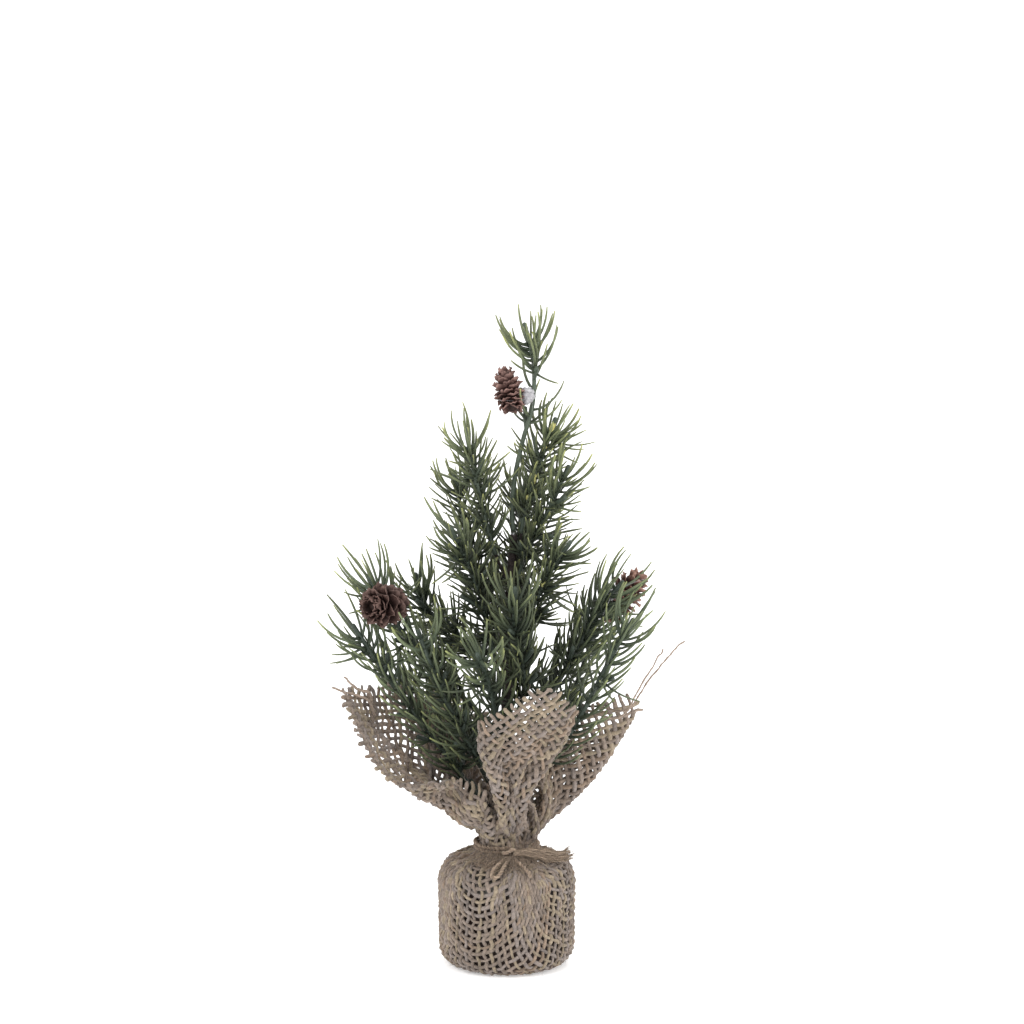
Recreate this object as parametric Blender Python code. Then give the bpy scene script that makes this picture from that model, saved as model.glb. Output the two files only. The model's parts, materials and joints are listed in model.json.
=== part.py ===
"""A small artificial tree for a tabletop.

A ballasted plastic cup stands in one square of burlap, which is gathered at the neck, tied with twine and
flares up in four petals. A taped steel rod is the trunk. Moulded sprays of needles are wired to it, and
each one bends where its wire leaves the trunk. Three small cones are glued to the sprays.

Metres, +Z up. The origin is the centre of the base on the table, and the front faces -Y.
"""

import math
from collections import namedtuple

import bmesh
import bpy
import numpy as np

GAP = 0.0003  # between pieces that touch

# The burlap: a bag round the cup, a gathered neck and four petals
BAG_RADIUS = 0.0305
CLOTH = 0.0018  # thickness
FOOT_ROUND = 0.0040
WALL_TOP = 0.0400  # height where the shoulder begins
SHOULDER_TOP = 0.0505
NECK_RADIUS = 0.0130
NECK_TOP = 0.0570
NECK_BORE = 0.0044
PETAL_FOOT = 0.0122  # radius of the outer face of a petal at the neck
PETAL_FOOT_HALF = 0.0068
PETAL_CURL = math.radians(52)  # how far a petal's edge turns up out of its middle
PETAL_TIP_HALF = 0.0025
PETAL_WIDEST = 0.70  # share of the way up

# The cup and its ballast
CUP_RADIUS = 0.0280
CUP_FOOT_RADIUS = 0.0265
CUP_WALL = 0.0009
CUP_TOP = 0.0375
BALLAST_EDGE = 0.0355
BALLAST_CROWN = 0.0375
SOCKET_FLOOR = 0.0080

# The twine
TWINE_RADIUS = 0.0009
TIE_LOW = 0.0509
TIE_PITCH = 0.0022
TIE_TURNS = 1.94
KNOT_CENTRE = (0.0012, -0.0177, 0.0522)
KNOT_HALF = (0.0030, 0.0020, 0.0026)

# The trunk
ROD_RADIUS = 0.0010
TRUNK_FOOT_RADIUS = 0.0036
TRUNK_TOP_RADIUS = 0.0017
TRUNK_ROUTE = ((0, 0, 0.0083), (0, 0, 0.060), (0.0002, 0, 0.110), (0.0012, 0, 0.160), (0.0031, 0, 0.1955))
WRAP_FOOT = 0.0380
WRAP_TOP = 0.1945

# The sprays
WIRE_RADIUS = 0.0006
WIRE_LENGTH = 0.0110
STEM_RADIUS = 0.0011
STEM_TIP_RADIUS = 0.0007
STEM_SIDES = 6
WHORL_PITCH = 0.0060
NEEDLE_FOOT = 0.0016  # length of stem that one needle covers
NEEDLE_LENGTH = 0.0150
NEEDLE_RADIUS = 0.0007
SHORTER = (1.0, 0.75, 0.5)  # shares of the full length that are tried where neighbours are close
LEAN = math.radians(40)  # between a needle and its stem
TIP_LEAN = math.radians(20)
TIP_REACH = 0.0100
CLEAR = 0.0004  # kept between a needle and everything on other sprays
SWEEP_STEPS = 7

Spray = namedtuple("Spray", "name root route bend first_needle")
Petal = namedtuple("Petal", "name azimuth spine half_width")
Cone = namedtuple("Cone", "name spray centre axis half_length radius glue")

# A petal's spine: distance from the axis and height of two handles and the tip
PETALS = (
    Petal("front", -70, ((0.020, 0.076), (0.037, 0.104), (0.0470, 0.1340)), 0.0200),
    Petal("right", 20, ((0.023, 0.070), (0.043, 0.087), (0.0620, 0.1130)), 0.0210),
    Petal("back", 110, ((0.026, 0.071), (0.047, 0.077), (0.0640, 0.0900)), 0.0220),
    Petal("left", 200, ((0.026, 0.077), (0.053, 0.087), (0.0750, 0.1240)), 0.0220),
)

# A spray: its root's height on the trunk, its route from there, the least and greatest bend in degrees
# (positive is outward and down), and the share of its stem that is bare
SPRAYS = (
    Spray("leader", 0.1963, ((0.0024, 0, 0.2037), (0.0036, 0, 0.220), (0.0072, 0, 0.237), (0.0112, 0, 0.2515),
                             (0.0121, 0, 0.2665), (0.0110, 0, 0.276), (0.0076, 0, 0.2896)), (-6, 9), 0.50),
    Spray("upper_left", 0.176, ((-0.0073, -0.003, 0.194), (-0.0146, -0.006, 0.2265),
                                (-0.0178, -0.008, 0.244)), (-3, 24), 0.10),
    Spray("upper_left_rear", 0.144, ((-0.009, 0.004, 0.165), (-0.0174, 0.008, 0.192),
                                     (-0.0235, 0.012, 0.221)), (-6, 24), 0.10),
    Spray("upper_right", 0.184, ((0.008, 0.002, 0.205), (0.0147, 0.004, 0.226),
                                 (0.0218, 0.006, 0.2465)), (-6, 24), 0.10),
    Spray("upper_right_front", 0.163, ((0.0073, -0.002, 0.1835), (0.0177, -0.005, 0.205),
                                       (0.0275, -0.008, 0.228)), (-3, 24), 0.10),
    Spray("mid_left_front", 0.130, ((-0.008, -0.006, 0.153), (-0.013, -0.009, 0.1737),
                                    (-0.0244, -0.014, 0.2015)), (-6, 24), 0.10),
    Spray("mid_left_rear", 0.118, ((-0.010, 0.004, 0.134), (-0.0218, 0.008, 0.147), (-0.0354, 0.012, 0.159),
                                   (-0.0404, 0.014, 0.1745)), (-6, 24), 0.10),
    Spray("mid_right", 0.140, ((0.0112, -0.007, 0.1627), (0.0183, -0.011, 0.1787),
                               (0.0286, -0.016, 0.196)), (-6, 24), 0.10),
    Spray("cone_left", 0.104, ((-0.015, -0.001, 0.117), (-0.0306, -0.003, 0.134), (-0.0486, -0.005, 0.156),
                               (-0.0605, -0.007, 0.178)), (-6, 24), 0.15),
    Spray("cone_right", 0.096, ((0.012, 0.001, 0.112), (0.024, 0.002, 0.1295), (0.0403, 0.004, 0.159),
                                (0.0517, 0.005, 0.1728)), (-6, 24), 0.15),
    Spray("centre_front", 0.104, ((0.0073, -0.012, 0.125), (0.007, -0.017, 0.140), (0.0037, -0.023, 0.158),
                                  (0.0037, -0.027, 0.178)), (-6, 24), 0.10),
    Spray("low_front", 0.088, ((-0.003, -0.015, 0.106), (-0.0077, -0.030, 0.1345),
                               (-0.013, -0.048, 0.153)), (-6, 12), 0.10),
    Spray("low_left_front", 0.078, ((-0.010, -0.007, 0.092), (-0.016, -0.011, 0.102), (-0.0275, -0.017, 0.126),
                                    (-0.0389, -0.023, 0.157)), (-6, 12), 0.10),
    Spray("low_left", 0.0635, ((-0.0105, -0.0015, 0.073), (-0.0174, -0.003, 0.083), (-0.033, -0.006, 0.105),
                               (-0.0508, -0.009, 0.130), (-0.0675, -0.012, 0.157)), (-6, 6), 0.10),
    Spray("low_left_rear", 0.067, ((-0.018, 0.006, 0.084), (-0.0369, 0.012, 0.107),
                                   (-0.0469, 0.015, 0.130)), (-6, 12), 0.15),
    Spray("low_right", 0.066, ((0.014, -0.003, 0.085), (0.030, -0.008, 0.110), (0.0447, -0.012, 0.140),
                               (0.0557, -0.015, 0.1605)), (-6, 12), 0.15),
    Spray("back_right", 0.074, ((0.013, 0.014, 0.092), (0.028, 0.030, 0.113), (0.040, 0.042, 0.142)),
          (-6, 12), 0.15),
    Spray("back_left", 0.072, ((-0.014, 0.015, 0.090), (-0.029, 0.032, 0.113), (-0.040, 0.045, 0.142)),
          (-6, 12), 0.15),
    Spray("back_mid", 0.110, ((0.002, 0.013, 0.129), (0.003, 0.027, 0.150), (0.002, 0.038, 0.178)),
          (-6, 24), 0.10),
    Spray("back_upper", 0.150, ((0.0040, 0.008, 0.170), (0.0065, 0.016, 0.193), (0.0085, 0.021, 0.217)),
          (-6, 24), 0.10),
)

# A cone: the spray that carries it, its centre, the way its tip points, and where its glue bead lies
CONES = (
    Cone("top", "leader", (0.0012, -0.0020, 0.2590), (-0.22, 0.45, 0.86), 0.0100, 0.0074,
         (0.0099, -0.0006, 0.2570)),
    Cone("left", "cone_left", (-0.0538, -0.0205, 0.1678), (-0.52, -0.84, 0.12), 0.0098, 0.0098,
         (-0.0548, -0.0090, 0.1656)),
    Cone("right", "cone_right", (0.0515, 0.0165, 0.1630), (0.64, 0.05, 0.77), 0.0125, 0.0080,
         (0.0461, 0.0078, 0.1655)),
)


# ------------------------------------------------------------------ shared shapes and numbers


def material(name, colour, roughness, metallic=0.0):
    made = bpy.data.materials.new(name)
    made.use_nodes = True
    shader = made.node_tree.nodes["Principled BSDF"]
    shader.inputs["Base Color"].default_value = (*colour, 1.0)
    shader.inputs["Roughness"].default_value = roughness
    shader.inputs["Metallic"].default_value = metallic
    made.diffuse_color = (*colour, 1.0)
    return made


def object_from(bm, name, look, parent=None):
    """A closed mesh object with its faces out and its round sides smooth."""
    bmesh.ops.recalc_face_normals(bm, faces=bm.faces)
    mesh = bpy.data.meshes.new(name)
    bm.to_mesh(mesh)
    bm.free()
    mesh.shade_smooth()
    mesh.set_sharp_from_angle(angle=math.radians(40))
    mesh.materials.append(look)
    made = bpy.data.objects.new(name, mesh)
    bpy.context.collection.objects.link(made)
    if parent:
        made.parent = parent
        made.location = [-x for x in parent.location]
    return made


def smooth_route(points, step):
    """Points about a step apart on the smooth curve through the given points (Catmull-Rom)."""
    given = np.array(points, float)
    ends = np.vstack([2 * given[0] - given[1], given, 2 * given[-1] - given[-2]])
    fine = []
    for a, b, c, d in zip(ends, ends[1:], ends[2:], ends[3:]):
        for t in np.linspace(0, 1, 24, endpoint=False):
            fine.append(0.5 * (2 * b + (c - a) * t + (2 * a - 5 * b + 4 * c - d) * t**2
                               + (3 * b - a - 3 * c + d) * t**3))
    fine = np.array([*fine, given[-1]])
    along = arc_lengths(fine)
    count = max(2, round(along[-1] / step) + 1)
    return at_lengths(fine, np.linspace(0, along[-1], count))


def arc_lengths(route):
    return np.concatenate([[0], np.linalg.norm(np.diff(route, axis=0), axis=1).cumsum()])


def at_lengths(route, lengths):
    along = arc_lengths(route)
    return np.stack([np.interp(lengths, along, route[:, k]) for k in range(3)], axis=1)


def frames(route):
    """The tangent and two cross directions at each point, turned as little as possible from one to the next."""
    tangents = np.gradient(route, axis=0)
    tangents /= np.linalg.norm(tangents, axis=1)[:, None]
    side = np.cross(tangents[0], (0.0, 1.0, 0.0) if abs(tangents[0][1]) < 0.9 else (1.0, 0.0, 0.0))
    sides = []
    for tangent in tangents:
        side = side - tangent * side.dot(tangent)
        side = side / np.linalg.norm(side)
        sides.append(side)
    sides = np.array(sides)
    return tangents, sides, np.cross(tangents, sides)


def add_rings(bm, route, radii, sides):
    """Rings of vertices round a route, joined by quads. Gives the rings and the quads of each gap."""
    _, across, up = frames(route)
    angles = np.arange(sides) * 2 * math.pi / sides
    rings = []
    for centre, x, y, radius in zip(route, across, up, radii):
        rings.append([bm.verts.new(centre + radius * (math.cos(a) * x + math.sin(a) * y)) for a in angles])
    quads = []
    for low, high in zip(rings, rings[1:]):
        quads.append([bm.faces.new((low[k], low[(k + 1) % sides], high[(k + 1) % sides], high[k]))
                      for k in range(sides)])
    return rings, quads


def add_rod(bm, route, radii, sides):
    rings, quads = add_rings(bm, route, radii, sides)
    bm.faces.new(rings[0][::-1])
    bm.faces.new(rings[-1])
    return rings, quads


def rod(name, route, radius, sides, look, parent=None):
    bm = bmesh.new()
    add_rod(bm, route, np.full(len(route), radius), sides)
    return object_from(bm, name, look, parent)


def turned(name, outline, look, sides=32):
    """A solid of revolution about Z. An outline point on the axis is shared by all the turns."""
    bm = bmesh.new()
    columns = []
    shared = {i: bm.verts.new((0, 0, z)) for i, (r, z) in enumerate(outline) if r == 0}
    for k in range(sides):
        a = 2 * math.pi * k / sides
        columns.append([shared.get(i) or bm.verts.new((r * math.cos(a), r * math.sin(a), z))
                        for i, (r, z) in enumerate(outline)])
    closed = 0 if outline[0][0] == 0 else 1
    for k in range(sides):
        here, there = columns[k], columns[(k + 1) % sides]
        for i in range(len(outline) - 1 + closed):
            j = (i + 1) % len(outline)
            corners = dict.fromkeys((here[i], there[i], there[j], here[j]))
            bm.faces.new(tuple(corners))
    return object_from(bm, name, look)


def arc(centre, radius, start, end, steps):
    """Points on an arc in the (distance from axis, height) plane. Angles in degrees."""
    angles = np.radians(np.linspace(start, end, steps))
    return [(centre[0] + radius * math.cos(a), centre[1] + radius * math.sin(a)) for a in angles]


# ------------------------------------------------------------------ cup, ballast and trunk


def cup(look):
    floor = CLOTH + GAP
    inner_top = CUP_RADIUS - CUP_WALL
    inner_foot = CUP_FOOT_RADIUS - CUP_WALL
    outline = [(0, floor), (CUP_FOOT_RADIUS, floor), (CUP_RADIUS, CUP_TOP), (inner_top, CUP_TOP),
               (inner_foot, floor + CUP_WALL), (0, floor + CUP_WALL)]
    return turned("pot_shell", outline, look)


def ballast(look):
    foot = CLOTH + CUP_WALL + 2 * GAP
    bore = ROD_RADIUS + GAP
    outline = [(0, foot), (CUP_FOOT_RADIUS - CUP_WALL - GAP, foot),
               (CUP_RADIUS - CUP_WALL - 2 * GAP, BALLAST_EDGE), (0.5 * CUP_RADIUS, BALLAST_CROWN - GAP),
               (bore, BALLAST_CROWN), (bore, SOCKET_FLOOR), (0, SOCKET_FLOOR)]
    return turned("cement_ballast", outline, look)


def trunk_route():
    return smooth_route(TRUNK_ROUTE, 0.008)


def trunk_point(height):
    route = trunk_route()
    return np.array([np.interp(height, route[:, 2], route[:, k]) for k in range(3)])


def trunk_radius(height):
    return float(np.interp(height, (WRAP_FOOT, WRAP_TOP), (TRUNK_FOOT_RADIUS, TRUNK_TOP_RADIUS)))


def trunk_rod(look):
    return rod("trunk_rod", trunk_route(), ROD_RADIUS, 10, look)


def trunk_wrap(look):
    """The paper tape: a sleeve over the rod, thicker at the foot where more wires are bound in."""
    heights = np.linspace(WRAP_FOOT, WRAP_TOP, 18)
    route = np.array([trunk_point(z) for z in heights])
    bm = bmesh.new()
    outer, _ = add_rings(bm, route, [trunk_radius(z) for z in heights], 12)
    inner, _ = add_rings(bm, route, np.full(len(route), ROD_RADIUS + GAP), 12)
    for k in range(12):
        n = (k + 1) % 12
        bm.faces.new((outer[0][k], inner[0][k], inner[0][n], outer[0][n]))
        bm.faces.new((outer[-1][k], outer[-1][n], inner[-1][n], inner[-1][k]))
    return object_from(bm, "trunk_wrap", look)


# ------------------------------------------------------------------ burlap and twine


def bag(look):
    """The cloth round the cup up to the tied neck, with the gathered folds as a thick collar."""
    inner = BAG_RADIUS - CLOTH
    neck_in = NECK_RADIUS - CLOTH
    outline = [(0, 0)]
    outline += arc((BAG_RADIUS - FOOT_ROUND, FOOT_ROUND), FOOT_ROUND, -90, 0, 4)
    outline += [(BAG_RADIUS, WALL_TOP - 0.002), (BAG_RADIUS - 0.0025, WALL_TOP + 0.0015)]
    outline += [(NECK_RADIUS + 0.002, SHOULDER_TOP - 0.001), (NECK_RADIUS, SHOULDER_TOP), (NECK_RADIUS, NECK_TOP)]
    outline += [(NECK_BORE, NECK_TOP), (NECK_BORE, SHOULDER_TOP - 0.002), (neck_in, SHOULDER_TOP - 0.003)]
    outline += [(inner - 0.0019, WALL_TOP + 0.0002), (inner, WALL_TOP - CLOTH)]
    outline += arc((inner - FOOT_ROUND / 2, CLOTH + FOOT_ROUND / 2), FOOT_ROUND / 2, 0, -90, 3)
    outline += [(0, CLOTH)]
    return turned("burlap_bag", outline, look)


def petal_surface(petal, u, v, depth=0.0):
    """A point on a petal: u runs across from -1 to 1, v up from 0 to 1, depth goes into the cloth."""
    a, (b, c, d) = (PETAL_FOOT, NECK_TOP + GAP), petal.spine
    spine = [(1 - v)**3 * p + 3 * (1 - v)**2 * v * q + 3 * (1 - v) * v**2 * r + v**3 * s
             for p, q, r, s in zip(a, b, c, d)]
    slope = [3 * (1 - v)**2 * (q - p) + 6 * (1 - v) * v * (r - q) + 3 * v**2 * (s - r)
             for p, q, r, s in zip(a, b, c, d)]
    length = math.hypot(*slope)
    inward = (-slope[1] / length, slope[0] / length)
    if v < PETAL_WIDEST:
        share = math.sin(v / PETAL_WIDEST * math.pi / 2)
        half = PETAL_FOOT_HALF + (petal.half_width - PETAL_FOOT_HALF) * share
    else:
        half = petal.half_width + (PETAL_TIP_HALF - petal.half_width) * (v - PETAL_WIDEST) / (1 - PETAL_WIDEST)
    bend = half / math.sin(PETAL_CURL)
    turn = u * PETAL_CURL
    aside = (bend - depth) * math.sin(turn)
    lift = bend - (bend - depth) * math.cos(turn)
    r = spine[0] + lift * inward[0]
    z = spine[1] + lift * inward[1]
    azimuth = math.radians(petal.azimuth)
    out = np.array([math.cos(azimuth), math.sin(azimuth), 0])
    across = np.array([-math.sin(azimuth), math.cos(azimuth), 0])
    return out * r + across * aside + np.array([0, 0, z])


def petal_sheet(bm, petal, depth, columns, rows):
    return [[bm.verts.new(petal_surface(petal, u, v, depth)) for u in np.linspace(-1, 1, columns)]
            for v in np.linspace(0, 1, rows)]


def petal_solid(petal, look):
    columns, rows = 9, 9
    bm = bmesh.new()
    outer = petal_sheet(bm, petal, 0.0, columns, rows)
    inner = petal_sheet(bm, petal, CLOTH, columns, rows)
    for sheet in (outer, inner):
        for i in range(rows - 1):
            for j in range(columns - 1):
                corners = (sheet[i][j], sheet[i][j + 1], sheet[i + 1][j + 1], sheet[i + 1][j])
                bm.faces.new(corners)
    rims = [list(zip(*edge)) for edge in (
        (outer[0], inner[0]), (outer[-1], inner[-1]),
        ([row[0] for row in outer], [row[0] for row in inner]),
        ([row[-1] for row in outer], [row[-1] for row in inner]))]
    for rim in rims:
        for (a, b), (c, d) in zip(rim, rim[1:]):
            bm.faces.new((a, b, d, c))
    return object_from(bm, f"burlap_petal_{petal.name}", look)


def shoulder_height(x, y):
    """The height of the bag's shoulder at a place, with the twine's radius and a gap on top."""
    fall = (SHOULDER_TOP - WALL_TOP) / (BAG_RADIUS - NECK_RADIUS)
    return SHOULDER_TOP - fall * (math.hypot(x, y) - NECK_RADIUS) + TWINE_RADIUS + 4 * GAP


def twine_tie(look):
    """Two turns of twine round the neck, whose ends meet at the knot."""
    radius = NECK_RADIUS + TWINE_RADIUS + GAP
    count = 48
    turns = np.linspace(0, TIE_TURNS, count)
    start = math.radians(-80)
    route = np.array([(radius * math.cos(start + 2 * math.pi * t), radius * math.sin(start + 2 * math.pi * t),
                       TIE_LOW + TIE_PITCH * t) for t in turns])
    return rod("twine_tie", route, TWINE_RADIUS, 8, look)


def ellipsoid(name, centre, half, look, parent=None, rings=6, sides=12):
    bm = bmesh.new()
    bmesh.ops.create_uvsphere(bm, u_segments=sides, v_segments=rings, radius=1.0)
    for vertex in bm.verts:
        vertex.co = [c + h * x for c, h, x in zip(centre, half, vertex.co)]
    return object_from(bm, name, look, parent)


def twine_ends(look):
    """The loop and the two free ends, which start at the knot and lie on the shoulder."""
    on_shoulder = {
        "twine_loop": [(-0.0030, -0.0200), (-0.0062, -0.0235), (-0.0072, -0.0262), (-0.0055, -0.0282),
                       (-0.0030, -0.0262), (-0.0012, -0.0222)],
        "twine_end_front": [(0.0036, -0.0210), (0.0062, -0.0240), (0.0085, -0.0268), (0.0102, -0.0280)],
    }
    for name, places in on_shoulder.items():
        route = [(x, y, shoulder_height(x, y)) for x, y in places]
        rod(name, smooth_route(route, 0.0022), TWINE_RADIUS, 8, look)
    tail = [(0.0048, -0.0178, 0.0526), (0.0100, -0.0178, 0.0524), (0.0165, -0.0165, 0.0510),
            (0.0220, -0.0140, 0.0495), (0.0265, -0.0105, 0.0490), (0.0290, -0.0070, 0.0500)]
    rod("twine_tail_right", smooth_route(tail, 0.0024), TWINE_RADIUS, 8, look)


# ------------------------------------------------------------------ sprays and their needles


def outward(spray):
    """The level direction in which a spray leaves the trunk."""
    end = np.array(spray.route[-1]) - trunk_point(spray.root)
    end[2] = 0
    return end / np.linalg.norm(end)


def root_of(spray):
    """The point that a spray bends about: on the trunk's surface, or on its top for the leader."""
    if spray.name == "leader":
        return np.array([*trunk_point(WRAP_TOP)[:2], spray.root])
    reach = trunk_radius(spray.root) + WIRE_RADIUS + 2 * GAP
    return trunk_point(spray.root) + outward(spray) * reach


def hinge_axis(spray):
    """Level, and square to the spray, so that a positive turn is outward and down."""
    return np.cross((0.0, 0.0, 1.0), outward(spray))


def full_route(spray):
    return smooth_route([root_of(spray), *spray.route], 0.0040)


def test_angles(spray):
    """Rest, then even steps over the spray's range."""
    return np.radians([0.0, *np.linspace(*spray.bend, SWEEP_STEPS)])


def swept(spray, points):
    """The points at each test angle of the spray."""
    pivot, n = root_of(spray), hinge_axis(spray)
    cross = np.array([[0, -n[2], n[1]], [n[2], 0, -n[0]], [-n[1], n[0], 0]])
    turned_points = []
    for a in test_angles(spray):
        turn = np.eye(3) + math.sin(a) * cross + (1 - math.cos(a)) * cross @ cross
        turned_points.append((np.asarray(points) - pivot) @ turn.T + pivot)
    return np.array(turned_points)


def segment_gap(first, second):
    """The least distance between segments, given as arrays (..., end, xyz) that broadcast."""
    tiny = 1e-12
    a = first[..., 1, :] - first[..., 0, :]
    b = second[..., 1, :] - second[..., 0, :]
    r = first[..., 0, :] - second[..., 0, :]
    aa, bb, ab = (a * a).sum(-1), (b * b).sum(-1), (a * b).sum(-1)
    ar, br = (a * r).sum(-1), (b * r).sum(-1)
    det = aa * bb - ab * ab
    s = np.clip((ab * br - bb * ar) / np.maximum(det, tiny), 0, 1)
    t = np.clip((ab * s + br) / np.maximum(bb, tiny), 0, 1)
    s = np.clip((ab * t - ar) / np.maximum(aa, tiny), 0, 1)
    return np.linalg.norm(r + s[..., None] * a - t[..., None] * b, axis=-1)


class Space:
    """The segments already placed, each at every test angle of the spray that owns it."""

    def __init__(self):
        self.ends, self.radii, self.owners, self.shared = [], [], [], []

    def add(self, owner, ends, radius, shared=False):
        """A shared segment is one that its own spray's needles keep off too, such as a cone."""
        self.ends.append(ends)
        self.radii.append(radius)
        self.owners.append(owner)
        self.shared.append(shared)

    def is_clear(self, owner, ends, radius):
        placed, radii = np.array(self.ends), np.array(self.radii) + radius + CLEAR
        owners, shared = np.array(self.owners), np.array(self.shared)
        near = np.linalg.norm(placed[:, 0, 0] - ends[0, 0], axis=1) < 5 * NEEDLE_LENGTH
        others = near & (owners != owner)
        own = near & (owners == owner) & shared
        far, limit = placed[others], radii[others][:, None]
        last = SWEEP_STEPS
        return bool((segment_gap(ends[0], far) > limit).all()
                    and (segment_gap(ends[None], far[:, :1]) > limit).all()
                    and (segment_gap(ends[None, [1, last]], far[:, [1, last]]) > limit).all()
                    and (segment_gap(ends[0], placed[own][:, 0]) > radii[own]).all())


def fixed(points):
    return np.repeat(np.asarray(points, float)[None], SWEEP_STEPS + 1, axis=0)


def fill_space():
    """Everything that the needles keep off: petals, trunk, stems and cones."""
    space = Space()
    for petal in PETALS:
        for u in np.linspace(-1, 1, 13):
            line = [petal_surface(petal, u, v, CLOTH / 2) for v in np.linspace(0, 1, 14)]
            for pair in zip(line, line[1:]):
                space.add("root", fixed(pair), 0.0022)
    trunk = trunk_route()
    for pair in zip(trunk[4:], trunk[5:]):
        space.add("root", fixed(pair), trunk_radius(pair[0][2]))
    for spray in SPRAYS:
        route = full_route(spray)[::2]
        for pair in zip(route, route[1:]):
            space.add(spray.name, swept(spray, pair), STEM_RADIUS)
    by_name = {spray.name: spray for spray in SPRAYS}
    for cone in CONES:
        axis = np.array(cone.axis) / np.linalg.norm(cone.axis)
        reach = (cone.half_length - 0.6 * cone.radius) * axis
        ends = np.array([cone.centre - reach, cone.centre + reach])
        space.add(cone.spray, swept(by_name[cone.spray], ends), cone.radius, shared=True)
    return space


def stations(length, first):
    """Distances along a stem: two rings for each whorl of needles, and the stem's two ends."""
    whorls = np.arange(max(first * length, WHORL_PITCH), length - WHORL_PITCH / 2, WHORL_PITCH)
    pairs = [s for w in whorls for s in (w, w + NEEDLE_FOOT)]
    return np.array([0, *pairs, length])


def plan_needles(spray, centres, along, space):
    """The needles of a spray as {(gap between rings, side): tip}, with those that would touch left out."""
    tangents, across, up = frames(centres)
    radii = stem_radii(along)
    needles = {}
    for gap in range(1, len(along) - 2, 2):
        share = along[gap] / along[-1]
        lean = LEAN + (TIP_LEAN - LEAN) * max(0.0, share - 0.7) / 0.3
        for side in range(gap // 2 % 2, STEM_SIDES, 2):
            angle = (side + 0.5) * 2 * math.pi / STEM_SIDES
            radial = math.cos(angle) * across[gap] + math.sin(angle) * up[gap]
            foot = (centres[gap] + centres[gap + 1]) / 2 + radial * radii[gap] * 0.8
            way = math.cos(lean) * tangents[gap] + math.sin(lean) * radial
            for part_length in SHORTER:
                tip = foot + way * NEEDLE_LENGTH * part_length
                ends = swept(spray, [foot + way * STEM_RADIUS, tip])
                if space.is_clear(spray.name, ends, NEEDLE_RADIUS):
                    space.add(spray.name, ends, NEEDLE_RADIUS)
                    needles[gap, side] = tip
                    break
    return needles


def stem_radii(along):
    return STEM_RADIUS + (STEM_TIP_RADIUS - STEM_RADIUS) * along / along[-1]


def stem_start(spray):
    return GAP if spray.name == "leader" else WIRE_LENGTH + GAP


def spray_solid(spray, space, look, parent):
    route = full_route(spray)
    start = stem_start(spray)
    along = stations(arc_lengths(route)[-1] - start, spray.first_needle)
    centres = at_lengths(route, along + start)
    needles = plan_needles(spray, centres, along, space)
    bm = bmesh.new()
    rings, quads = add_rod(bm, centres, stem_radii(along), STEM_SIDES)
    for (gap, side), tip in needles.items():
        bmesh.ops.poke(bm, faces=[quads[gap][side]])["verts"][0].co = tip
    end_cap = next(f for f in bm.faces if set(f.verts) == set(rings[-1]))
    forward = centres[-1] - centres[-2]
    point = bmesh.ops.poke(bm, faces=[end_cap])["verts"][0]
    point.co = centres[-1] + forward / np.linalg.norm(forward) * TIP_REACH
    return object_from(bm, f"{spray.name}_spray", look, parent)


def wire_solid(spray, look, parent):
    route = at_lengths(full_route(spray), np.linspace(0, WIRE_LENGTH, 5))
    return rod(f"{spray.name}_wire", route, WIRE_RADIUS, 6, look, parent)


# ------------------------------------------------------------------ cones


def cone_solid(cone, look, parent):
    """An egg shape whose every facet rises to a scale that points to the tip."""
    rings, sides = 9, 12
    axis = np.array(cone.axis) / np.linalg.norm(cone.axis)
    across = np.cross(axis, (0.0, 0.0, 1.0))
    across /= np.linalg.norm(across)
    up = np.cross(axis, across)
    bm = bmesh.new()
    angles = np.linspace(0.12 * math.pi, 0.90 * math.pi, rings)
    core = 0.84 * cone.radius
    loops = []
    for i, a in enumerate(angles):
        middle = np.array(cone.centre) - axis * 0.94 * cone.half_length * math.cos(a)
        radius = core * math.sin(a)**0.8
        twist = i * math.pi / sides
        loops.append([bm.verts.new(middle + radius * (math.cos(t) * across + math.sin(t) * up))
                      for t in np.arange(sides) * 2 * math.pi / sides + twist])
    bm.faces.new(loops[0][::-1])
    bm.faces.new(loops[-1])
    for low, high in zip(loops, loops[1:]):
        for k in range(sides):
            n = (k + 1) % sides
            face = bm.faces.new((low[k], low[n], high[n], high[k]))
            centre = np.mean([v.co for v in face.verts], axis=0)
            outward_way = centre - np.array(cone.centre)
            outward_way -= axis * outward_way.dot(axis)
            rise = outward_way / np.linalg.norm(outward_way) * (cone.radius - core)
            scale = bmesh.ops.poke(bm, faces=[face])["verts"][0]
            scale.co = centre + rise + axis * 0.0006
    return object_from(bm, f"cone_{cone.name}", look, parent)


def empty_at(name, place):
    made = bpy.data.objects.new(name, None)
    bpy.context.collection.objects.link(made)
    made.location = place
    return made


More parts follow.
